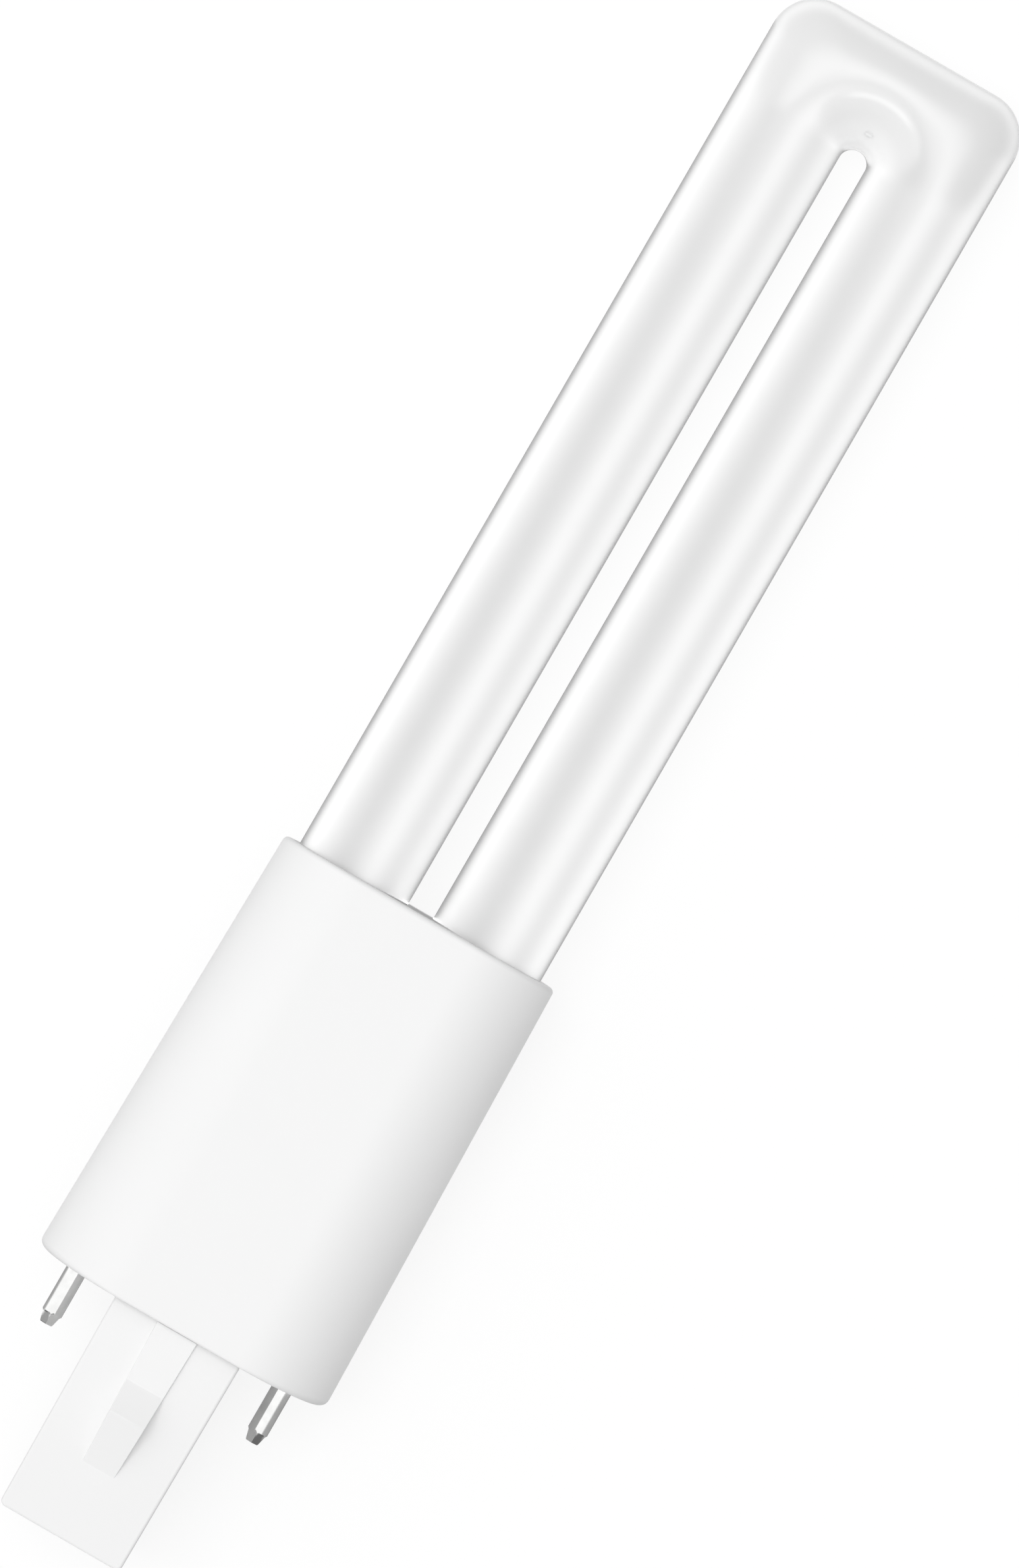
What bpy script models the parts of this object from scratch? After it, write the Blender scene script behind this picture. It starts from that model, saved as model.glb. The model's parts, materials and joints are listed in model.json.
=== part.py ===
"""A plug-in LED lamp: a folded opal tube, a moulded housing and a cap with a guide post and two pins.

The lamp is modelled upright. z = 0 is the face that seats in the lamp holder, z rises to the head of the
tube, x runs from pin to pin and the front looks along -y. The last step lays the lamp on its back, as a
loose one comes to rest, with the origin on the ground under the middle of its box. Sizes are in metres.
"""
import math

import bmesh
import bpy
from mathutils import Matrix, Vector

# Clearance between two pieces that touch on the real lamp
SEAT_GAP = 0.0003
# How far a cutter runs past the face that it cuts, and how far a joined shape reaches into its carrier
CUT_MARGIN = 0.0010
JOIN_DEPTH = 0.0005

# Folded tube: two round legs, joined by a bridge over the end of the slot between them
TUBE_DIAMETER = 0.01205
TUBE_WALL = 0.0010
TUBE_SLOT = 0.0028
TUBE_SHOWN = 0.0964
TUBE_SEAT_DEPTH = 0.0120
HEAD_BRIDGE = 0.0113
HEAD_CORNER = 0.0046

# Housing sleeve: oval, wider at the foot than at the top
HOUSING_HEIGHT = 0.0462
HOUSING_WALL = 0.0016
SOCKET_THICKNESS = 0.0050
TUBE_SIDE_MARGIN = 0.0016
TUBE_FRONT_MARGIN = 0.0030
PIN_SIDE_MARGIN = 0.0045
POST_FRONT_MARGIN = 0.0020
HOUSING_TOP_ROUND = 0.0005
HOUSING_FOOT_ROUND = 0.0009

# Base cap: plate, locating skirt, pin bosses that rise just past it, and guides for the driver board
CAP_PLATE = 0.0020
SKIRT_HEIGHT = 0.0040
SKIRT_WALL = 0.0011
BOSS_WALL = 0.0009
BOSS_RISE = 0.0004
GUIDE_WIDTH = 0.0024
GUIDE_WALL = 0.0012
GUIDE_HEIGHT = 0.0040

# Guide post under the cap, with a retention wedge on its front and its back
POST_WIDTH = 0.0138
POST_DEPTH = 0.0150
POST_LENGTH = 0.0229
POST_DRAFT = 0.00025
POST_WALL = 0.0013
POST_FLOOR = 0.0015
POST_ROUND = 0.0006
WEDGE_START = 0.0004
WEDGE_WIDTH = 0.0044
WEDGE_END_WIDTH = 0.0035
WEDGE_PAD_LENGTH = 0.0060
WEDGE_PAD_HEIGHT = 0.0010
WEDGE_STEP_LENGTH = 0.00325
WEDGE_CREST_HEIGHT = 0.00185
WEDGE_RAMP_LENGTH = 0.00585

# Contact pins
PIN_SPACING = 0.0230
PIN_DIAMETER = 0.0021
PIN_LENGTH = 0.0064
PIN_TIP_LENGTH = 0.0011
PIN_TIP_DIAMETER = 0.0015
PIN_CRIMP_DIAMETER = 0.00204
PIN_CRIMP_SIDES = 6
PIN_COLLAR_DIAMETER = 0.0034
PIN_COLLAR_THICKNESS = 0.0008
PIN_TAIL_DIAMETER = 0.0014
PIN_TAIL_LENGTH = 0.0014

# LED boards, one in each leg, a little behind the middle of the tube
LED_BOARD_THICKNESS = 0.0010
LED_BOARD_SETBACK = 0.0016
LED_BOARD_TAIL = 0.0025
LED_WIDTH = 0.0028
LED_LENGTH = 0.0035
LED_HEIGHT = 0.0008
LED_DRAFT = 0.00014
LED_PITCH = 0.0068
LED_END_MARGIN = 0.0040

# Driver board and its parts
DRIVER_BOARD_THICKNESS = 0.0012
DRIVER_HEADROOM = 0.0010
CAPACITOR_LENGTH = 0.0120
CAPACITOR_CLEARANCE = 0.0012
CAPACITOR_GROOVE = 0.0003
CAPACITOR_GROOVE_AT = 0.0018
CAPACITOR_LEAD_PITCH = 0.0035
CAPACITOR_LEAD_RADIUS = 0.0003
CAPACITOR_LEAD_RISE = 0.0023
FILM_CAPACITOR_SIZE = (0.0072, 0.0045, 0.0050)
FILM_CAPACITOR_BOTTOM = 0.0036
FILM_CAPACITOR_EDGE = 0.0003
RESISTOR_DIAMETER = 0.0026
RESISTOR_LENGTH = 0.0070
RESISTOR_WAIST = 0.0022
RESISTOR_CAP_LENGTH = 0.0015
RESISTOR_BOTTOM = 0.0058
LEAD_RADIUS = 0.0003
LEAD_STUB = 0.0012
CHOKE_DIAMETER = 0.0085
CHOKE_HEIGHT = 0.0070
CHOKE_FLANGE = 0.0010
CHOKE_POST_DIAMETER = 0.0040
CHOKE_WINDING_SETBACK = 0.0005
CHOKE_TOP_MARGIN = 0.0015
RECTIFIER_BODY = (0.0025, 0.0040)
RECTIFIER_LEAD_PITCH = 0.0025
RECTIFIER_OFFSET = 0.0024
DRIVER_CHIP_BODY = (0.0039, 0.0049)
DRIVER_CHIP_LEAD_PITCH = 0.00127
CHIP_BODY_HEIGHT = 0.0015
CHIP_LEAD_REACH = 0.0009
CHIP_LEAD_WIDTH = 0.0005
CHIP_LEAD_THICKNESS = 0.0005
CHIP_STANDOFF = 0.00015
WIRE_RADIUS = 0.00045
WIRE_PAD_OFFSET = 0.0018
WIRE_TOP_MARGIN = 0.0042
PIN_WIRE_INSET = 0.0019
PIN_WIRE_RISE = 0.0055

# Facets
OVAL_STEPS = 16
RING_STEPS = 28
CORNER_STEPS = 8
TOP_STEPS = 5
ROUND_STEPS = 24
WIRE_STEPS = 10
EDGE_STEPS = 3
SMOOTH_ANGLE = math.radians(35.0)
MERGE_DISTANCE = 0.00001

# Densities in kilograms per cubic metre, which settle where the lamp balances
GLASS = 2500.0
PLASTIC = 1350.0
BRASS = 8500.0
BOARD = 1900.0
PART_FILL = 2200.0
FERRITE = 4800.0
WINDING = 6000.0

# Worked out from the sizes above
TUBE_RADIUS = TUBE_DIAMETER / 2
TUBE_PITCH = TUBE_DIAMETER + TUBE_SLOT
TUBE_HALF_WIDTH = TUBE_SLOT / 2 + TUBE_DIAMETER
HEAD_TOP = HOUSING_HEIGHT + TUBE_SHOWN
SLOT_CENTRE_Z = HEAD_TOP - HEAD_BRIDGE - TUBE_SLOT / 2
TUBE_FOOT = HOUSING_HEIGHT - TUBE_SEAT_DEPTH
HOUSING_TOP_WIDTH = 2 * (TUBE_HALF_WIDTH + TUBE_SIDE_MARGIN)
HOUSING_TOP_DEPTH = TUBE_DIAMETER + 2 * TUBE_FRONT_MARGIN
HOUSING_FOOT_WIDTH = PIN_SPACING + 2 * PIN_SIDE_MARGIN
HOUSING_FOOT_DEPTH = POST_DEPTH + 2 * POST_FRONT_MARGIN
PIN_HOLE_RADIUS = PIN_DIAMETER / 2 + SEAT_GAP
BOSS_RADIUS = PIN_HOLE_RADIUS + BOSS_WALL
CAP_INSET = HOUSING_WALL + SEAT_GAP
SKIRT_TOP = CAP_PLATE + SKIRT_HEIGHT
BOSS_TOP = SKIRT_TOP + BOSS_RISE
SKIRT_INSET = CAP_INSET + SKIRT_WALL
DRIVER_FRONT_Y = BOSS_RADIUS + SEAT_GAP
DRIVER_BACK_Y = DRIVER_FRONT_Y + DRIVER_BOARD_THICKNESS
DRIVER_BOTTOM = CAP_PLATE + SEAT_GAP
LED_BOARD_BOTTOM = TUBE_FOOT - LED_BOARD_TAIL
LED_BOARD_FRONT_Y = LED_BOARD_SETBACK - LED_BOARD_THICKNESS / 2
DRIVER_TOP = LED_BOARD_BOTTOM - DRIVER_HEADROOM
CAPACITOR_RADIUS = POST_WIDTH / 2 - POST_DRAFT - POST_WALL - CAPACITOR_CLEARANCE
CAPACITOR_BOTTOM = POST_FLOOR + SEAT_GAP - POST_LENGTH
CAPACITOR_TOP = CAPACITOR_BOTTOM + CAPACITOR_LENGTH
SIDES = (("left", -1), ("right", 1))


def clear_scene():
    for old in list(bpy.data.objects):
        bpy.data.objects.remove(old, do_unlink=True)


def add_collection(name):
    made = bpy.data.collections.new(name)
    bpy.context.scene.collection.children.link(made)
    return made


def finish(name, colour, roughness, metallic=0.0):
    """A Principled material, made once and shared by pieces of the same stuff."""
    look = bpy.data.materials.get(name)
    if look is None:
        look = bpy.data.materials.new(name)
        look.use_nodes = True
        look.diffuse_color = (*colour, 1.0)
        shader = look.node_tree.nodes["Principled BSDF"]
        shader.inputs["Base Color"].default_value = (*colour, 1.0)
        shader.inputs["Roughness"].default_value = roughness
        shader.inputs["Metallic"].default_value = metallic
    return look


def white_plastic():
    return finish("white_housing_plastic", (0.86, 0.86, 0.85), 0.38)


def opal_glass():
    return finish("opal_glass", (0.90, 0.90, 0.89), 0.08)


def nickel():
    return finish("nickel_plate", (0.74, 0.73, 0.70), 0.18, 1.0)


def white_board():
    return finish("white_board", (0.84, 0.85, 0.84), 0.45)


def phosphor():
    return finish("led_phosphor", (0.93, 0.78, 0.30), 0.50)


def green_board():
    return finish("green_board", (0.05, 0.26, 0.12), 0.40)


def black_resin():
    return finish("black_resin", (0.03, 0.03, 0.035), 0.45)


def can_sleeve():
    return finish("can_sleeve", (0.06, 0.07, 0.11), 0.30)


def film_case():
    return finish("film_case", (0.55, 0.13, 0.06), 0.35)


def resistor_coat():
    return finish("resistor_coat", (0.20, 0.40, 0.30), 0.40)


def ferrite():
    return finish("ferrite", (0.09, 0.085, 0.08), 0.60)


def copper():
    return finish("copper_wire", (0.66, 0.30, 0.13), 0.28, 1.0)


def tinned_wire():
    return finish("tinned_wire", (0.70, 0.70, 0.68), 0.25, 1.0)


def wire_cover():
    return finish("wire_cover", (0.83, 0.83, 0.82), 0.45)


def place(name, data, look, density=0.0, collection=None):
    """Puts mesh or curve data in the scene. A piece states its density, and a helper has none."""
    piece = bpy.data.objects.new(name, data)
    (collection or PARTS).objects.link(piece)
    piece.parent = STAND
    if look is not None:
        data.materials.append(look)
        piece["density"] = density
    return piece


def mesh_from(bm, name):
    bmesh.ops.recalc_face_normals(bm, faces=bm.faces)
    mesh = bpy.data.meshes.new(name)
    bm.to_mesh(mesh)
    bm.free()
    mesh.shade_smooth()
    mesh.set_sharp_from_angle(angle=SMOOTH_ANGLE)
    return mesh


def helper(name, bm):
    """A hidden shape that another piece is cut by or joined with."""
    shape = place(name, mesh_from(bm, name), None, collection=CUTTERS)
    shape.hide_render = True
    shape.display_type = "WIRE"
    return shape


def combine(piece, shape, operation):
    step = piece.modifiers.new(shape.name, "BOOLEAN")
    step.operation = operation
    step.solver = "EXACT"
    step.object = shape


def join(piece, shape):
    combine(piece, shape, "UNION")


def cut(piece, shape):
    combine(piece, shape, "DIFFERENCE")


def box(low, high):
    """A block between two corners."""
    bm = bmesh.new()
    bmesh.ops.create_cube(bm, size=1.0)
    low = Vector(low)
    high = Vector(high)
    bmesh.ops.scale(bm, vec=high - low, verts=bm.verts)
    bmesh.ops.translate(bm, vec=(low + high) / 2, verts=bm.verts)
    return bm


def cylinder(x, y, z_low, z_high, radius, top_radius=None, steps=ROUND_STEPS):
    """An upright cylinder, or a cone where the top has its own radius."""
    bm = bmesh.new()
    bmesh.ops.create_cone(
        bm,
        cap_ends=True,
        segments=steps,
        radius1=radius,
        radius2=radius if top_radius is None else top_radius,
        depth=z_high - z_low,
        matrix=Matrix.Translation((x, y, (z_low + z_high) / 2)),
    )
    return bm


def housing_size(z):
    """Outer width and depth of the housing at a height."""
    share = z / HOUSING_HEIGHT
    width = HOUSING_FOOT_WIDTH + (HOUSING_TOP_WIDTH - HOUSING_FOOT_WIDTH) * share
    depth = HOUSING_FOOT_DEPTH + (HOUSING_TOP_DEPTH - HOUSING_FOOT_DEPTH) * share
    return width, depth


def oval_points(z, inset):
    """The housing's oval at a height, drawn in by inset: two half circles and the straights between them."""
    width, depth = housing_size(z)
    radius = depth / 2 - inset
    centre = (width - depth) / 2
    points = []
    for side in (1, -1):
        for step in range(OVAL_STEPS + 1):
            angle = math.pi * (step / OVAL_STEPS - 0.5)
            x = side * (centre + radius * math.cos(angle))
            points.append(Vector((x, side * radius * math.sin(angle), z)))
    return points


def oval_block(z_low, z_high, inset):
    """A solid with the housing's oval section between two heights: the lower face, extruded and drawn in."""
    bm = bmesh.new()
    face = bm.faces.new([bm.verts.new(point) for point in oval_points(z_low, inset)])
    raised = bmesh.ops.extrude_face_region(bm, geom=[face])
    top = [item for item in raised["geom"] if isinstance(item, bmesh.types.BMVert)]
    low_size = housing_size(z_low)
    high_size = housing_size(z_high)
    taper = [(high - 2 * inset) / (low - 2 * inset) for low, high in zip(low_size, high_size)]
    bmesh.ops.scale(bm, vec=(*taper, 1.0), verts=top)
    bmesh.ops.translate(bm, vec=(0.0, 0.0, z_high - z_low), verts=top)
    return bm


def round_edges(bm, edges, width):
    bmesh.ops.bevel(
        bm,
        geom=edges,
        offset=width,
        offset_type="OFFSET",
        segments=EDGE_STEPS,
        profile=0.5,
        affect="EDGES",
        clamp_overlap=True,
    )


def edges_at(bm, z):
    """The edges that lie flat at a height."""
    return [edge for edge in bm.edges if all(abs(vert.co.z - z) < MERGE_DISTANCE for vert in edge.verts)]


def turned(name, profile, look, density, steps=ROUND_STEPS):
    """A piece turned about its own z axis. Its profile of (radius, z) points runs down the outer side."""
    bm = bmesh.new()
    verts = [bm.verts.new((radius, 0.0, z)) for radius, z in profile]
    for upper, lower in zip(verts, verts[1:]):
        bm.edges.new((upper, lower))
    if profile[0][0] > 0.0:
        bm.edges.new((verts[-1], verts[0]))
    mesh = bpy.data.meshes.new(name)
    bm.to_mesh(mesh)
    bm.free()
    piece = place(name, mesh, look, density)
    spin = piece.modifiers.new("turn", "SCREW")
    spin.axis = "Z"
    spin.steps = steps
    spin.render_steps = steps
    spin.use_merge_vertices = True
    spin.merge_threshold = MERGE_DISTANCE
    spin.use_smooth_shade = True
    return piece


def head_outline():
    """The outer outline of the bend as (x, z) points, from the right leg over the top to the left leg."""
    corner_x = TUBE_HALF_WIDTH - HEAD_CORNER
    corner_z = HEAD_TOP - HEAD_CORNER
    half = [(TUBE_HALF_WIDTH, SLOT_CENTRE_Z), (TUBE_HALF_WIDTH, (SLOT_CENTRE_Z + corner_z) / 2)]
    for step in range(CORNER_STEPS + 1):
        angle = math.pi / 2 * step / CORNER_STEPS
        x = corner_x + HEAD_CORNER * math.cos(angle)
        half.append((x, corner_z + HEAD_CORNER * math.sin(angle)))
    for step in range(1, TOP_STEPS + 1):
        half.append((corner_x * (1 - step / TOP_STEPS), HEAD_TOP))
    return half + [(-x, z) for x, z in reversed(half[:-1])]


def tube_stations():
    """Where each section of the tube meets the slot, has its ridge and meets the outside."""
    foot = (TUBE_HALF_WIDTH, TUBE_FOOT)
    far_foot = (-TUBE_HALF_WIDTH, TUBE_FOOT)
    stations = []
    for x, z in [foot, *head_outline(), far_foot]:
        base = Vector((0.0, 0.0, min(z, SLOT_CENTRE_Z)))
        outer = Vector((x, 0.0, z))
        reach = (outer - base).normalized()
        stations.append((base + reach * TUBE_SLOT / 2, base + reach * TUBE_PITCH / 2, outer))
    return stations


def add_tube():
    """The folded tube: a loft of sections, round in the legs and stretched outwards in the head's corners.

    The ridge, where the tube is deepest, keeps its distance from the slot all the way round the bend.
    """
    bm = bmesh.new()
    rings = []
    for inner, ridge, outer in tube_stations():
        ring = []
        for step in range(RING_STEPS):
            angle = 2 * math.pi * step / RING_STEPS
            across = math.cos(angle)
            half = outer - ridge if across > 0.0 else ridge - inner
            side = Vector((0.0, TUBE_RADIUS * math.sin(angle), 0.0))
            ring.append(bm.verts.new(ridge + half * across + side))
        rings.append(ring)
    for ring, following in zip(rings, rings[1:]):
        for k in range(RING_STEPS):
            after = (k + 1) % RING_STEPS
            bm.faces.new((ring[k], ring[after], following[after], following[k]))
    mesh = bpy.data.meshes.new("tube")
    bm.to_mesh(mesh)
    bm.free()
    mesh.shade_smooth()
    tube = place("tube", mesh, opal_glass(), GLASS)
    wall = tube.modifiers.new("wall", "SOLIDIFY")
    wall.thickness = TUBE_WALL
    wall.offset = -1.0
    wall.use_even_offset = True
    return tube


def add_housing():
    """The sleeve: an oval block with rounded ends, hollowed from its foot and bored for the two legs."""
    bm = oval_block(0.0, HOUSING_HEIGHT, 0.0)
    round_edges(bm, edges_at(bm, HOUSING_HEIGHT), HOUSING_TOP_ROUND)
    round_edges(bm, edges_at(bm, 0.0), HOUSING_FOOT_ROUND)
    sleeve = place("housing_sleeve", mesh_from(bm, "housing_sleeve"), white_plastic(), PLASTIC)
    cavity_top = HOUSING_HEIGHT - SOCKET_THICKNESS
    cut(sleeve, helper("housing_cavity", oval_block(-CUT_MARGIN, cavity_top, HOUSING_WALL)))
    for side, sign in SIDES:
        low = cavity_top - CUT_MARGIN
        high = HOUSING_HEIGHT + CUT_MARGIN
        bore = cylinder(sign * TUBE_PITCH / 2, 0.0, low, high, TUBE_RADIUS + SEAT_GAP, steps=RING_STEPS)
        cut(sleeve, helper(f"leg_socket_{side}", bore))
    return sleeve


def post_block(z_high, z_low, inset):
    """The guide post's drafted block, drawn in by inset."""
    bm = box(
        (inset - POST_WIDTH / 2, inset - POST_DEPTH / 2, z_low),
        (POST_WIDTH / 2 - inset, POST_DEPTH / 2 - inset, z_high),
    )
    for vert in bm.verts:
        if vert.co.z < (z_high + z_low) / 2:
            vert.co.x -= math.copysign(POST_DRAFT, vert.co.x)
            vert.co.y -= math.copysign(POST_DRAFT, vert.co.y)
    return bm


def add_wedge(cap, side, sign):
    """A retention wedge: a flat pad under the seat, a step up to a crest and a ramp that fades out."""
    face = POST_DEPTH / 2 - POST_DRAFT
    root = face - POST_WALL / 2
    pad_end = WEDGE_START + WEDGE_PAD_LENGTH
    crest = pad_end + WEDGE_STEP_LENGTH
    end = crest + WEDGE_RAMP_LENGTH
    profile = (
        (-WEDGE_START, root),
        (-WEDGE_START, face + WEDGE_PAD_HEIGHT),
        (-pad_end, face + WEDGE_PAD_HEIGHT),
        (-crest, face + WEDGE_CREST_HEIGHT),
        (-end, face),
        (-end, root),
    )
    bm = bmesh.new()
    outline = [bm.verts.new((-WEDGE_WIDTH / 2, sign * y, z)) for z, y in profile]
    raised = bmesh.ops.extrude_face_region(bm, geom=[bm.faces.new(outline)])
    moved = [item for item in raised["geom"] if isinstance(item, bmesh.types.BMVert)]
    bmesh.ops.translate(bm, vec=(WEDGE_WIDTH, 0.0, 0.0), verts=moved)
    for vert in bm.verts:
        way_down = (-WEDGE_START - vert.co.z) / (end - WEDGE_START)
        width = WEDGE_WIDTH + (WEDGE_END_WIDTH - WEDGE_WIDTH) * way_down
        vert.co.x = math.copysign(width / 2, vert.co.x)
    join(cap, helper(f"wedge_{side}", bm))


def add_board_guides(cap):
    """Four small walls on the plate that the driver board stands between."""
    x = (POST_WIDTH / 2 + PIN_SPACING / 2 - BOSS_RADIUS) / 2
    low = CAP_PLATE - JOIN_DEPTH
    high = CAP_PLATE + GUIDE_HEIGHT
    walls = (
        ("front", DRIVER_FRONT_Y - SEAT_GAP - GUIDE_WALL, DRIVER_FRONT_Y - SEAT_GAP),
        ("back", DRIVER_BACK_Y + SEAT_GAP, DRIVER_BACK_Y + SEAT_GAP + GUIDE_WALL),
    )
    for side, sign in SIDES:
        for place_name, y_low, y_high in walls:
            centre = sign * x
            wall = box((centre - GUIDE_WIDTH / 2, y_low, low), (centre + GUIDE_WIDTH / 2, y_high, high))
            join(cap, helper(f"guide_{place_name}_{side}", wall))


def add_base_cap():
    """The cap moulding: a plate and skirt inside the housing's foot, and the hollow post under them."""
    block = mesh_from(oval_block(0.0, SKIRT_TOP, CAP_INSET), "base_cap")
    cap = place("base_cap", block, white_plastic(), PLASTIC)
    cut(cap, helper("cap_pocket", oval_block(CAP_PLATE, SKIRT_TOP + CUT_MARGIN, SKIRT_INSET)))
    post = post_block(CAP_PLATE / 2, -POST_LENGTH, 0.0)
    round_edges(post, [edge for edge in post.edges if min(v.co.z for v in edge.verts) < 0.0], POST_ROUND)
    join(cap, helper("post", post))
    add_wedge(cap, "front", -1)
    add_wedge(cap, "back", 1)
    for side, sign in SIDES:
        boss = cylinder(sign * PIN_SPACING / 2, 0.0, CAP_PLATE - JOIN_DEPTH, BOSS_TOP, BOSS_RADIUS)
        join(cap, helper(f"boss_{side}", boss))
    add_board_guides(cap)
    cut(cap, helper("post_cavity", post_block(CAP_PLATE + CUT_MARGIN, POST_FLOOR - POST_LENGTH, POST_WALL)))
    for side, sign in SIDES:
        hole = cylinder(
            sign * PIN_SPACING / 2, 0.0, -CUT_MARGIN, BOSS_TOP + CUT_MARGIN, PIN_HOLE_RADIUS
        )
        cut(cap, helper(f"pin_hole_{side}", hole))
    return cap


def add_pin(side, sign):
    """A contact pin: a collar on the boss, a shank through the plate and a six-sided crimped tip."""
    collar_low = BOSS_TOP + SEAT_GAP
    collar_top = collar_low + PIN_COLLAR_THICKNESS
    shank_low = PIN_TIP_LENGTH - PIN_LENGTH
    profile = (
        (0.0, collar_top + PIN_TAIL_LENGTH),
        (PIN_TAIL_DIAMETER / 2, collar_top + PIN_TAIL_LENGTH),
        (PIN_TAIL_DIAMETER / 2, collar_top),
        (PIN_COLLAR_DIAMETER / 2, collar_top),
        (PIN_COLLAR_DIAMETER / 2, collar_low),
        (PIN_DIAMETER / 2, collar_low),
        (PIN_DIAMETER / 2, shank_low),
        (0.0, shank_low),
    )
    pin = turned(f"contact_pin_{side}", profile, nickel(), BRASS)
    pin.location.x = sign * PIN_SPACING / 2
    crimp = cylinder(
        sign * PIN_SPACING / 2,
        0.0,
        -PIN_LENGTH,
        shank_low + JOIN_DEPTH / 2,
        PIN_TIP_DIAMETER / 2,
        PIN_CRIMP_DIAMETER / 2,
        steps=PIN_CRIMP_SIDES,
    )
    join(pin, helper(f"crimp_{side}", crimp))


def add_led_board(side, sign):
    """A strip that slides into one leg, as wide as the tube lets it be at its setback."""
    reach = TUBE_RADIUS - TUBE_WALL - SEAT_GAP
    half_width = math.sqrt(reach**2 - (LED_BOARD_SETBACK + LED_BOARD_THICKNESS / 2) ** 2)
    x = sign * TUBE_PITCH / 2
    bm = box(
        (x - half_width, LED_BOARD_FRONT_Y, LED_BOARD_BOTTOM),
        (x + half_width, LED_BOARD_FRONT_Y + LED_BOARD_THICKNESS, SLOT_CENTRE_Z),
    )
    place(f"led_board_{side}", mesh_from(bm, f"led_board_{side}"), white_board(), BOARD)


def led_mesh():
    """One light-emitting package, with its front face drawn in."""
    bm = box((-LED_WIDTH / 2, -LED_HEIGHT, -LED_LENGTH / 2), (LED_WIDTH / 2, 0.0, LED_LENGTH / 2))
    front = [vert for vert in bm.verts if vert.co.y < -LED_HEIGHT / 2]
    drawn_in = (1 - 2 * LED_DRAFT / LED_WIDTH, 1.0, 1 - 2 * LED_DRAFT / LED_LENGTH)
    bmesh.ops.scale(bm, vec=drawn_in, verts=front)
    mesh = mesh_from(bm, "led_package")
    mesh.materials.append(phosphor())
    return mesh


def add_leds():
    """Rows of packages, evenly spaced over the shown length of each leg."""
    first = HOUSING_HEIGHT + LED_END_MARGIN
    count = int((SLOT_CENTRE_Z - LED_END_MARGIN - first) / LED_PITCH) + 1
    package = led_mesh()
    for side, sign in SIDES:
        for number in range(count):
            led = bpy.data.objects.new(f"led_{side}_{number + 1:02d}", package)
            PARTS.objects.link(led)
            led.parent = STAND
            led["density"] = PART_FILL
            y = LED_BOARD_FRONT_Y - SEAT_GAP
            led.location = (sign * TUBE_PITCH / 2, y, first + number * LED_PITCH)


def driver_half_width():
    """Half the width that the driver board can have inside the cap's skirt."""
    width, depth = housing_size(SKIRT_TOP)
    radius = depth / 2 - SKIRT_INSET
    return (width - depth) / 2 + math.sqrt(radius**2 - (DRIVER_BACK_Y + SEAT_GAP) ** 2) - SEAT_GAP


def add_driver_board():
    half_width = driver_half_width()
    bm = box((-half_width, DRIVER_FRONT_Y, DRIVER_BOTTOM), (half_width, DRIVER_BACK_Y, DRIVER_TOP))
    place("driver_board", mesh_from(bm, "driver_board"), green_board(), BOARD)


def add_electrolytic():
    """The can that stands in the hollow post, with a rolled groove near its leads."""
    radius = CAPACITOR_RADIUS
    groove = CAPACITOR_TOP - CAPACITOR_GROOVE_AT
    profile = (
        (0.0, CAPACITOR_TOP),
        (radius - CAPACITOR_GROOVE, CAPACITOR_TOP),
        (radius, CAPACITOR_TOP - CAPACITOR_GROOVE),
        (radius, groove + CAPACITOR_GROOVE),
        (radius - CAPACITOR_GROOVE, groove),
        (radius, groove - CAPACITOR_GROOVE),
        (radius, CAPACITOR_BOTTOM + CAPACITOR_GROOVE),
        (radius - CAPACITOR_GROOVE, CAPACITOR_BOTTOM),
        (0.0, CAPACITOR_BOTTOM),
    )
    turned("electrolytic_capacitor", profile, can_sleeve(), PART_FILL)


def bend_points(start, start_handle, end_handle, end):
    """Points along a cubic curve."""
    start, start_handle, end_handle, end = (Vector(p) for p in (start, start_handle, end_handle, end))
    points = []
    for step in range(WIRE_STEPS + 1):
        t = step / WIRE_STEPS
        u = 1 - t
        points.append(u**3 * start + 3 * u * u * t * start_handle + 3 * u * t * t * end_handle + t**3 * end)
    return points


def add_wire(name, points, radius, look, density):
    curve = bpy.data.curves.new(name, "CURVE")
    curve.dimensions = "3D"
    curve.bevel_depth = radius
    curve.bevel_resolution = 2
    curve.use_fill_caps = True
    spline = curve.splines.new("POLY")
    spline.points.add(len(points) - 1)
    for target, point in zip(spline.points, points):
        target.co = (*point, 1.0)
    place(name, curve, look, density)


def add_capacitor_leads():
    """Two bare leads that rise from the can and turn to the driver board's front face."""
    for side, sign in SIDES:
        x = sign * CAPACITOR_LEAD_PITCH / 2
        low = CAPACITOR_TOP + SEAT_GAP
        high = DRIVER_BOTTOM + CAPACITOR_LEAD_RISE
        end_y = DRIVER_FRONT_Y - SEAT_GAP
        points = bend_points((x, 0.0, low), (x, 0.0, high), (x, 0.0, high), (x, end_y, high))
        add_wire(f"capacitor_lead_{side}", points, CAPACITOR_LEAD_RADIUS, tinned_wire(), BRASS)


def add_film_capacitor():
    width, depth, height = FILM_CAPACITOR_SIZE
    back = DRIVER_FRONT_Y - SEAT_GAP
    low = DRIVER_BOTTOM + FILM_CAPACITOR_BOTTOM
    bm = box((-width / 2, back - depth, low), (width / 2, back, low + height))
    case = place("film_capacitor", mesh_from(bm, "film_capacitor"), film_case(), PART_FILL)
    edge = case.modifiers.new("edge", "BEVEL")
    edge.width = FILM_CAPACITOR_EDGE
    edge.segments = 1


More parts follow.
